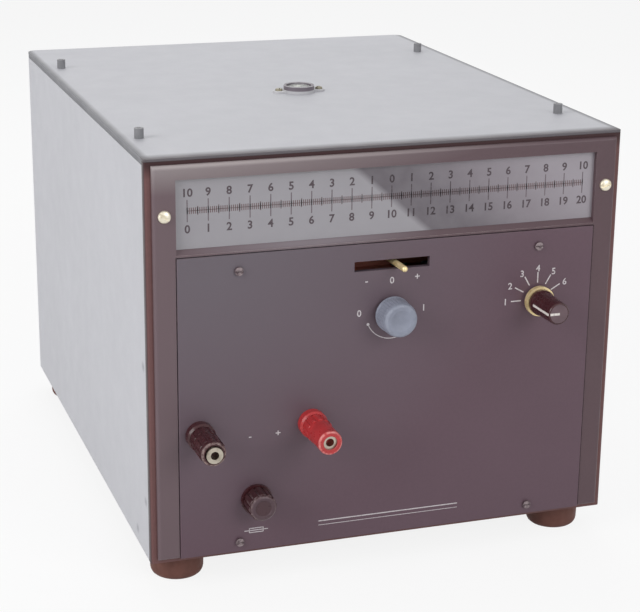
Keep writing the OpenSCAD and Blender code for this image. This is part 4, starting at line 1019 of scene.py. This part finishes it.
# %% Turn the lock knob
RIBS, RIB_DEPTH = 36, 0.22 * MM
knob_low, knob_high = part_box("lock_knob")
knob_x, knob_z = middle_of("lock_knob").x, middle_of("lock_knob").z
knob_r = (knob_high.x - knob_low.x) / 2
back, front = knob_high.y, knob_low.y
grip = turned("lock_grip", knob_x, knob_z, [
    (knob_r - 0.5 * MM, back - 1.2 * MM), (knob_r - 0.1 * MM, back - 1.7 * MM),
    (knob_r - 0.35 * MM, front + 2.2 * MM), (knob_r - 0.9 * MM, front + 1.6 * MM)],
    sides=4 * RIBS, flutes=RIBS, flute_depth=RIB_DEPTH)
core_steps = [
    (knob_r - 0.3 * MM, back), (knob_r, back - 0.3 * MM), (knob_r, back - 1.2 * MM),
    (knob_r - 0.35 * MM, back - 1.6 * MM), (knob_r - 0.55 * MM, front + 1.7 * MM),
    (knob_r - 0.75 * MM, front + 0.9 * MM), (knob_r - 1.2 * MM, front + 0.35 * MM),
    (knob_r - 1.9 * MM, front), (knob_r - 2.2 * MM, front), (knob_r * 0.6, front),
    (knob_r * 0.56, front + 0.12 * MM),
    (knob_r * 0.47, front + 0.75 * MM), (knob_r * 0.2, front + 1.0 * MM)]
lock_core = turned("lock_core", knob_x, knob_z, core_steps, sides=96)
lock_turned = joined("lock_knob_turned", [lock_core, grip])
edge_marks(lock_turned, knob_x, knob_z, knob_r - 2.0 * MM, front, 0.6)
settle(lock_turned, "lock", "grey_plastic", finishes["grey_plastic"], "lock_knob")
print("lock knob radius:", round(knob_r / MM, 2), "mm")

# %% [markdown]
# ## The range selector
# A dark knob with a grey inlay in its face stands on a brass ring. A white line runs along its side and
# over its face, and points at the strokes printed round it. It could be a stripe in the shader, but a thin
# piece of its own has a crisp edge on the curved side too.

# %% Turn the selector knob
pointer_low, pointer_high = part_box("selector_knob")
pointer_x, pointer_z = middle_of("selector_ring").x, middle_of("selector_ring").z
pointer_r = pointer_high.x - pointer_x
back, front = pointer_high.y, pointer_low.y
inlay_r = pointer_r - 1.75 * MM
selector_turned = turned("selector_knob_turned", pointer_x, pointer_z, [
    (pointer_r - 0.3 * MM, back), (pointer_r, back - 0.3 * MM), (pointer_r, back - 2.8 * MM),
    (pointer_r - 0.2 * MM, back - 3.3 * MM), (pointer_r - 0.5 * MM, back - 3.9 * MM),
    (pointer_r - 0.9 * MM, front + 1.1 * MM), (pointer_r - 1.15 * MM, front + 0.5 * MM),
    (pointer_r - 1.45 * MM, front + 0.1 * MM), (pointer_r - 1.65 * MM, front), (inlay_r, front),
    (inlay_r, front + 0.35 * MM)])
settle(selector_turned, "selector", "black_plastic", finishes["black_plastic"], "selector_knob")
inlay = turned("selector_inlay", pointer_x, pointer_z, [
    (inlay_r - 0.05 * MM, front + 0.38 * MM), (inlay_r - 0.05 * MM, front + 0.12 * MM),
    (inlay_r - 0.25 * MM, front + 0.02 * MM)])
inlay_grey = moulded("inlay_grey", srgb(106, 88, 93), 0.42, srgb(140, 130, 134), 0.2)
settle(inlay, "selector", "grey_plastic", inlay_grey)
print("selector radius:", round(pointer_r / MM, 2), "mm, inlay", round(inlay_r / MM, 2), "mm")

# %% The white line of the selector
LINE_WIDTH = 1.2 * MM
white_fill = ink("white_fill", srgb(226, 220, 214), srgb(150, 140, 138))
line_x = pointer_x - pointer_r + 0.75 * MM
line_y = (back - 4.2 * MM + front + 0.6 * MM) / 2
line_length = back - front - 4.8 * MM
bpy.ops.object.select_all(action="DESELECT")
bpy.ops.mesh.primitive_cube_add(
    size=1, location=(line_x, line_y, pointer_z), scale=(0.6 * MM, line_length, LINE_WIDTH))
side_line = bpy.context.object
bpy.ops.object.transform_apply(location=True, rotation=True, scale=True)
pick_faces(side_line, lambda centre, normal: normal.y < -0.9)
bpy.ops.transform.translate(value=(0.35 * MM, 0, 0))
finish_edit()
face_x, face_length = pointer_x - inlay_r * 0.46, inlay_r * 1.05
face_line = print_block("face_line", face_x, pointer_z, face_length, LINE_WIDTH, front + 0.03 * MM)
selector_line = joined("selector_line", [side_line, face_line])
settle(selector_line, "selector", "scale", white_fill)
print("line length on the side:", round(line_length / MM, 1), "mm")

# %% [markdown]
# ## Printed marks on the control plate
# The plate carries thin white print: strokes round the selector, an arc under the lock knob, and plain
# figures and signs at the slot, the terminals and the fuse. They are made like the scale's print, so they
# share its blocks and figures. The arc is a short stroke swept round the knob's axis.

# %% Strokes and figures round the selector
panel_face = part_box("control_panel")[0].y
white_ink = ink("white_ink", srgb(206, 200, 202), srgb(120, 106, 112))
STROKE_ANGLES = [180, 150, 120, 90, 60, 30]
STROKE_IN, STROKE_L, STROKE_W = 8.6 * MM, 5.4 * MM, 0.6 * MM
NUMBERS_X, NUMBERS_Z = 17.0 * MM, 16.0 * MM
DIGIT_H, SIGN_H = 3.2 * MM, 3.4 * MM


def ray(name, angle, inner, length, width):
    """A printed stroke that points away from the selector's axis."""
    bar = print_block(name, 0, 0, length, width, panel_face)
    bar.location.x = inner + length / 2
    only(bar)
    bpy.ops.object.transform_apply(location=True, rotation=True, scale=True)
    bar.rotation_euler = (0, -math.radians(angle), 0)
    bar.location = (pointer_x, 0, pointer_z)
    bpy.ops.object.transform_apply(location=True, rotation=True, scale=True)
    return bar


marks = []
for number, angle in enumerate(STROKE_ANGLES, start=1):
    marks.append(ray("stroke", angle, STROKE_IN, STROKE_L, STROKE_W))
    number_x = pointer_x + NUMBERS_X * math.cos(math.radians(angle))
    number_z = pointer_z + NUMBERS_Z * math.sin(math.radians(angle))
    marks.append(figure(str(number), number_x, number_z, DIGIT_H, panel_face))
selector_print = joined("selector_print", marks)
settle(selector_print, "cabinet", "panel_paint", white_ink)
print("selector strokes:", len(STROKE_ANGLES))

# %% Arc at the lock knob and signs at the slot
ARC_RADIUS, ARC_WIDTH, ARC_STEPS = 12.8 * MM, 0.4 * MM, 40
arc_start, arc_sweep = math.radians(202), math.radians(96)
dot_x = knob_x + ARC_RADIUS * math.cos(arc_start)
dot_z = knob_z + ARC_RADIUS * math.sin(arc_start)
dot_steps = [(0.75 * MM, panel_face + PRINT_SUNK), (0.7 * MM, panel_face - PRINT_PROUD)]
dot = turned("arc_dot", dot_x, dot_z, dot_steps, sides=24)
bpy.ops.object.select_all(action="DESELECT")
bpy.ops.mesh.primitive_plane_add(size=1, location=(knob_x + ARC_RADIUS, panel_face, knob_z))
arc = bpy.context.object
arc.scale = (ARC_WIDTH, PRINT_PROUD + PRINT_SUNK, 1)
bpy.ops.object.transform_apply(location=True, rotation=True, scale=True)
pick_faces(arc, lambda centre, normal: True)
bpy.ops.transform.rotate(value=arc_start, orient_axis="Y", center_override=(knob_x, panel_face, knob_z))
bpy.ops.mesh.spin(steps=ARC_STEPS, angle=arc_sweep, center=(knob_x, panel_face, knob_z), axis=(0, 1, 0))
bpy.ops.mesh.select_all(action="SELECT")
bpy.ops.mesh.remove_doubles(threshold=0.001 * MM)
bpy.ops.mesh.normals_make_consistent(inside=False)
finish_edit()
slot_z = middle_of("zero_lever").z
slot_signs = [figure("-", -13 * MM, slot_z - 7.2 * MM, SIGN_H, panel_face),
              figure("0", 0, slot_z - 8.0 * MM, DIGIT_H, panel_face),
              figure("+", 13 * MM, slot_z - 7.2 * MM, SIGN_H, panel_face)]
knob_signs = [figure("0", knob_x - 16.5 * MM, knob_z + 1.2 * MM, DIGIT_H, panel_face),
              figure("1", knob_x + 16.7 * MM, knob_z + 1.2 * MM, DIGIT_H, panel_face)]
lock_print = joined("lock_print", [arc, dot, *slot_signs, *knob_signs])
settle(lock_print, "cabinet", "panel_paint", white_ink)
print("arc points:", len(lock_print.data.vertices))

# %% Signs at the terminals, the fuse and the lower edge
black_x, red_x = middle_of("black_cap").x, middle_of("red_cap").x
post_z = middle_of("red_cap").z
fuse_x, fuse_z = middle_of("fuse_cap").x, middle_of("fuse_cap").z
signs = [figure("-", black_x + 25 * MM, post_z - 3.5 * MM, SIGN_H, panel_face),
         figure("+", red_x - 17 * MM, post_z - 3.5 * MM, SIGN_H, panel_face)]
sign_z = fuse_z - 16.5 * MM
for x, z, w, h in (
    (0, 1.1, 7, 0.4), (0, -1.1, 7, 0.4), (-3.5, 0, 0.4, 2.5), (3.5, 0, 0.4, 2.5), (0, 0, 12, 0.4),
):
    signs.append(print_block("fuse_sign", fuse_x + x * MM, sign_z + z * MM, w * MM, h * MM, panel_face))
RULE_L = 74 * MM
rule_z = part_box("control_panel")[0].z + 9.6 * MM
for rise, thick in ((1.1, 0.55), (-1.1, 0.3)):
    signs.append(print_block("rule", 1 * MM, rule_z + rise * MM, RULE_L, thick * MM, panel_face))
plate_print = joined("plate_print", signs)
settle(plate_print, "cabinet", "panel_paint", white_ink)
print("signs:", len(signs))

# %% [markdown]
# ## Terminal caps and fuse cap
# The caps are moulded with flutes for the fingers. The black one is fluted in two bands, the red one has a
# fluted flange and a smooth barrel, and the fuse cap is fluted along its whole length. As with the lock
# knob, fluted bands are set round a plain barrel, whose steps run on into its mouth.

# %% Bands and barrels
FLUTES = 12
ROOM_R, ROOM_L = 4.7 * MM, 6 * MM


def fluted_band(name, axis_x, axis_z, radius, back, front, depth):
    """A band with flutes for the fingers and softened ends."""
    soft = 0.25 * MM
    return turned(name, axis_x, axis_z, [
        (radius - soft, back), (radius, back - soft), (radius, front + soft), (radius - soft, front)],
        sides=FLUTES * 10, flutes=FLUTES, flute_depth=depth)


def cap_barrel(name, axis_x, axis_z, radius, back, front, mouth_r, lip_l):
    """The plain barrel of a cap; behind the lip its mouth widens to leave room round the socket."""
    soft = 0.35 * MM
    return turned(name, axis_x, axis_z, [
        (radius - soft, back), (radius, back - soft), (radius, front + 1.1 * MM),
        (radius, front + 0.7 * MM), (radius - 0.2 * MM, front + 0.3 * MM),
        (radius - 0.5 * MM, front + 0.06 * MM), (radius - 0.8 * MM, front), (radius - 1.0 * MM, front),
        (mouth_r + 0.2 * MM, front), (mouth_r, front + 0.2 * MM), (mouth_r, front + lip_l),
        (ROOM_R, front + lip_l), (ROOM_R, front + ROOM_L)])


print("flutes round a cap:", FLUTES)

# %% Terminal caps
FLUTE_DEPTH = 0.55 * MM
for node, body, slot, bands, mouth_r, lip_l in (
    ("black_cap", "black_head", "black_plastic", ((0.0, 0.34), (0.46, 0.86)), 4.25 * MM, 0.5 * MM),
    ("red_cap", "red_head", "red_plastic", ((0.0, 0.34),), 3.4 * MM, 0.9 * MM),
):
    low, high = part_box(node)
    axis_x, axis_z = middle_of(node).x, middle_of(node).z
    cap_r, length = (high.x - low.x) / 2, high.y - low.y
    barrel_r = cap_r - 0.5 * MM
    parts = [cap_barrel(node + "_barrel", axis_x, axis_z, barrel_r, high.y, low.y, mouth_r, lip_l)]
    for start, end in bands:
        band_back, band_front = high.y - start * length, high.y - end * length
        parts.append(fluted_band("band", axis_x, axis_z, cap_r, band_back, band_front, FLUTE_DEPTH))
    cap = joined(node + "_moulded", parts)
    edge_marks(cap, axis_x, axis_z, barrel_r - 0.9 * MM, low.y, 0.75)
    settle(cap, body, slot, finishes[slot], node)
    print(cap.name, "radius", round(cap_r / MM, 2), "length", round(length / MM, 1))

# %% The fuse cap
FUSE_FLUTE_DEPTH = 0.6 * MM
low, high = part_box("fuse_cap")
fuse_front, fuse_back = low.y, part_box("fuse_holder")[0].y - 0.3 * MM
fuse_r = (high.x - low.x) / 2
fuse_band = fluted_band(
    "fuse_band", fuse_x, fuse_z, fuse_r, fuse_back, fuse_front + 1.4 * MM, FUSE_FLUTE_DEPTH)
fuse_nose = turned("fuse_nose", fuse_x, fuse_z, [
    (4 * MM, high.y), (4 * MM, fuse_back), (fuse_r - 0.5 * MM, fuse_back),
    (fuse_r - 0.5 * MM, fuse_front + 1.0 * MM), (fuse_r - 0.8 * MM, fuse_front + 0.4 * MM),
    (fuse_r - 1.5 * MM, fuse_front), (fuse_r - 1.9 * MM, fuse_front), (fuse_r * 0.62, fuse_front),
    (fuse_r * 0.55, fuse_front + 0.4 * MM)])
fuse_moulded = joined("fuse_cap_moulded", [fuse_nose, fuse_band])
edge_marks(fuse_moulded, fuse_x, fuse_z, fuse_r - 1.2 * MM, fuse_front, 1.5)
# The paler plum front face is a painted reflection on the dark cap.
fuse_plastic = moulded("fuse_plastic", srgb(64, 36, 39), 0.3, srgb(116, 98, 100), 0.3, 0.0012,
                       face=(srgb(84, 65, 71), fuse_front + 0.2 * MM, 0.4 * MM))
settle(fuse_moulded, "fuse_head", "black_plastic", fuse_plastic, "fuse_cap")
print("fuse cap radius:", round(fuse_r / MM, 2), "mm")
print("fuse cap length:", round((fuse_back - fuse_front) / MM, 1), "mm")

# %% [markdown]
# ## Screws
# Domed screws with a slot hold the bezel and, smaller and duller, the spirit level. The dome is turned and
# a boolean cuts the slot, since one straight cut through a dome is what that tool does best. Each screw is
# modelled once and copied, every copy with its own mesh. The zinc heads on the lid and the dark screws of
# the control plate are in the model already, and only their edges are softened.


# %% Domed brass screws
def domed_screw(name, head_r, head_h, shank_r, shank_l):
    """A slotted dome head along -Y whose seat is at the origin."""
    steps = [(shank_r, shank_l), (shank_r, 0), (head_r, 0), (head_r, -0.25 * head_h)]
    for share in (0.35, 0.6, 0.8, 0.92, 0.98):
        radius = head_r * (0.98 * math.sqrt(1 - share ** 2.4) + 0.02)
        steps.append((radius, -head_h * (0.25 + 0.75 * share)))
    piece = turned(name, 0, 0, steps, sides=64)
    bpy.ops.object.select_all(action="DESELECT")
    slot_size = (3 * head_r, head_h * 1.1, head_r * 0.34)
    bpy.ops.mesh.primitive_cube_add(size=1, location=(0, -head_h, 0), scale=slot_size)
    cutter = bpy.context.object
    only(piece)
    slot_cut = piece.modifiers.new("slot", "BOOLEAN")
    slot_cut.operation = "DIFFERENCE"
    slot_cut.object = cutter
    bpy.ops.object.modifier_apply(modifier="slot")
    bpy.data.objects.remove(cutter)
    return piece


def placed_copy(pattern, name, place, turn):
    """A copy with its own mesh, turned and moved, with its place kept in the mesh."""
    piece = bpy.data.objects.new(name, pattern.data.copy())
    bpy.context.collection.objects.link(piece)
    piece.rotation_euler = turn
    piece.location = place
    only(piece)
    bpy.ops.object.transform_apply(location=True, rotation=True, scale=True)
    return piece


bezel_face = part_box("bezel")[0].y
level_low, level_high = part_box("level_housing")
level_x, level_y = middle_of("level_housing").x, middle_of("level_housing").y
EAR_R, EAR_T = 3 * MM, 1.2 * MM
level_screw_x = (level_high.x - level_low.x) / 2 - EAR_R
large = domed_screw("large", 3 * MM, 1.9 * MM, 1.5 * MM, 6 * MM)
small = domed_screw("small", 2 * MM, 1.3 * MM, 1.0 * MM, 3 * MM)
bezel_screws, level_screws = [], []
for side, slant in ((-1, 0.6), (1, -0.3)):
    place = (side * bezel_screw_x, bezel_face, scale_line)
    bezel_screws.append(placed_copy(large, "screw", place, (0, slant, 0)))
    place = (level_x + side * level_screw_x, level_y, level_low.z + EAR_T)
    level_screws.append(placed_copy(small, "screw", place, (math.radians(-90), 0, slant + 0.9)))
bpy.data.objects.remove(large)
bpy.data.objects.remove(small)
pale_brass = metal("pale_brass", srgb(236, 228, 208), srgb(188, 174, 146), 0.36, bare=0.6)
settle(joined("brass_domes", bezel_screws), "cabinet", "brass", pale_brass, "brass_screws")
dull_brass = metal("dull_brass", srgb(150, 144, 126), srgb(96, 92, 80), 0.42, bare=0.6)
settle(joined("level_domes", level_screws), "cabinet", "brass", dull_brass)
print("screws at x =", round(bezel_screw_x / MM, 1), "and", round(level_screw_x / MM, 1))

# %% Lid screws and plate screws
zinc = moulded("zinc", srgb(126, 126, 129), 0.4, srgb(176, 176, 178))
browned = moulded("browned", srgb(84, 68, 73), 0.36, srgb(150, 136, 138), 0.3)
for node, name, slot, finish in (
    ("lid_screws", "lid_heads", "steel", zinc),
    ("small_screws", "plate_screws", "black_oxide", browned),
):
    heads = merged_copy(node, name)
    rows = soften(heads, 0.16, lambda middle: True, sharper_than=40)
    settle(heads, "cabinet", slot, finish, node)
    print(name, "marked points:", rows)

# %% [markdown]
# ## The spirit level
# A small round level sits on the lid: a housing with a dark wall and two pale ears, a pale floor with a
# ring printed on it, a domed glass and the bubble under it. The model has one solid for the whole vial.
# Floor, ring, bubble and glass are turned separately here, so that each has its own look.

# %% Level housing
housing = merged_copy("level_housing", "level_case")
rows = soften(housing, 0.3, lambda middle: middle.z > level_low.z + 0.8 * MM, sharper_than=40)
case_paint = paint(
    "case_paint", srgb(190, 189, 192), 0.42, 0.06, edge=srgb(222, 222, 222), chips=(0.2, 0.4),
    side=(srgb(112, 104, 112), "Z", level_low.z + EAR_T, 0.5 * MM))
settle(housing, "cabinet", "level_body", case_paint, "level_housing")
print("level case, marked points:", rows)


# %% Floor and ring of the level
def upright_piece(name, steps, place, sides=64):
    """A turned piece that stands along Z; its steps are radius and height above the place."""
    piece = turned(name, 0, 0, [(radius, -height) for radius, height in steps], sides)
    piece.rotation_euler = (math.radians(-90), 0, 0)
    piece.location = place
    only(piece)
    bpy.ops.object.transform_apply(location=True, rotation=True, scale=True)
    return piece


vial_low, vial_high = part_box("level_vial")
vial_r, vial_h = (vial_high.x - vial_low.x) / 2, vial_high.z - vial_low.z
vial_place = (level_x, level_y, vial_low.z)
dial_h = vial_h - 1.9 * MM
dial_steps = [(vial_r, 0), (vial_r, dial_h - 0.1 * MM), (vial_r - 0.2 * MM, dial_h)]
dial = upright_piece("level_dial", dial_steps, vial_place)
dial_pale = moulded("dial_pale", srgb(176, 175, 174), 0.5, srgb(190, 189, 188))
settle(dial, "cabinet", "level_glass", dial_pale)
ring_place = (level_x, level_y, vial_low.z + dial_h)
bpy.ops.object.select_all(action="DESELECT")
bpy.ops.mesh.primitive_torus_add(
    major_radius=2.6 * MM, minor_radius=0.2 * MM, major_segments=48, minor_segments=8,
    location=ring_place)
ring_mark = bpy.context.object
ring_mark.name = "level_ring"
edit(ring_mark)
bpy.ops.mesh.select_all(action="SELECT")
bpy.ops.transform.resize(value=(1, 1, 0.4), center_override=ring_place)
finish_edit()
settle(ring_mark, "cabinet", "level_body", ink("ring_ink", srgb(84, 80, 86), srgb(130, 126, 130)))
print("level floor below the glass's top:", round((vial_h - dial_h) / MM, 2), "mm")

# %% Bubble and glass of the level
bubble_place = (level_x - 0.5 * MM, level_y + 0.3 * MM, vial_low.z + dial_h + 0.1 * MM)
bubble_steps = [
    (1.5 * MM, 0), (1.8 * MM, 0.2 * MM), (1.9 * MM, 0.45 * MM), (1.7 * MM, 0.7 * MM),
    (1.2 * MM, 0.9 * MM), (0.5 * MM, 1.0 * MM)]
bubble = upright_piece("level_bubble", bubble_steps, bubble_place, 48)
settle(bubble, "cabinet", "level_glass", clear("bubble_clear", srgb(246, 248, 238), 0.55))
dome_r = 2.4 * vial_r
dome_steps = [(vial_r - 0.1 * MM, dial_h + 0.05 * MM), (vial_r, dial_h + 0.15 * MM)]
for share in (1.0, 0.9, 0.75, 0.55, 0.3, 0.1):
    across = share * vial_r
    dome_steps.append((across, vial_h - dome_r + math.sqrt(dome_r ** 2 - across ** 2)))
dome = upright_piece("level_dome", dome_steps, vial_place)
settle(dome, "cabinet", "level_glass", finishes["level_glass"], "level_vial")
print("level dome radius:", round(vial_r / MM, 2), "mm")

# %% [markdown]
# ## Feet
# Four brown rubber feet are screwed under the tray. They are slightly tapered, rounded at the bottom and
# hollow in the middle, where the screw's head is sunk. The model's feet are plain cylinders, and a bevel
# would not taper them, so one foot is turned and copied to the four corners.

# %% Turn one foot and copy it
feet_low, feet_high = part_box("feet")
foot_h = feet_high.z - feet_low.z
foot_r = 13.5 * MM
recess_r, recess_l = 4.5 * MM, 4.5 * MM
foot = turned("foot", 0, 0, [
    (foot_r - 0.5 * MM, 0), (foot_r, -0.5 * MM), (foot_r - 0.3 * MM, 3.4 * MM - foot_h),
    (foot_r - 0.55 * MM, 2.2 * MM - foot_h), (foot_r - 1.1 * MM, 1.1 * MM - foot_h),
    (foot_r - 2.0 * MM, 0.3 * MM - foot_h), (foot_r - 3.0 * MM, -foot_h),
    (recess_r + 0.5 * MM, -foot_h), (recess_r, 0.5 * MM - foot_h), (recess_r, recess_l - foot_h)], sides=80)
feet = []
for x in (feet_low.x + foot_r, feet_high.x - foot_r):
    for y in (feet_low.y + foot_r, feet_high.y - foot_r):
        feet.append(placed_copy(foot, "foot", (x, y, feet_high.z), (math.radians(90), 0, 0)))
bpy.data.objects.remove(foot)
rubber_feet = joined("rubber_feet", feet)
settle(rubber_feet, "cabinet", "rubber", finishes["rubber"], "feet")
print("feet:", len(feet), "height", round(foot_h / MM, 1), "mm")

# %% [markdown]
# ## Mains inlet
# The black inlet in the rear is moulded with its three pins in one. On the real one the pins are metal.
# Their faces could be given a second finish, but a thin metal sleeve round each also brings the tapered
# tip.

# %% Sleeves on the pins
inlet_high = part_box("mains_inlet")[1]
inlet_middle = middle_of("mains_inlet")
PIN_W, PIN_H, PIN_L, PIN_TIP = 2.2 * MM, 4.2 * MM, 14 * MM, 0.8 * MM
PIN_PITCH, PIN_SHIFT = 7 * MM, 2 * MM
pin_end = inlet_high.y - 8.2 * MM
pins = []
for side in (-1, 0, 1):
    bpy.ops.object.select_all(action="DESELECT")
    pin_z = inlet_middle.z + PIN_SHIFT * (1 - 2 * abs(side))
    place = (inlet_middle.x + side * PIN_PITCH, pin_end - PIN_L / 2, pin_z)
    bpy.ops.mesh.primitive_cube_add(size=1, location=place, scale=(PIN_W, PIN_L, PIN_H))
    pin = bpy.context.object
    bpy.ops.object.transform_apply(location=True, rotation=True, scale=True)
    pick_faces(pin, lambda centre, normal: normal.y > 0.9)
    bpy.ops.mesh.extrude_region_move(TRANSFORM_OT_translate={"value": (0, PIN_TIP, 0)})
    bpy.ops.transform.resize(value=(0.6, 1, 0.8))
    finish_edit()
    pins.append(pin)
settle(joined("inlet_pins", pins), "cabinet", "steel", NICKEL)
print("pins:", len(pins))
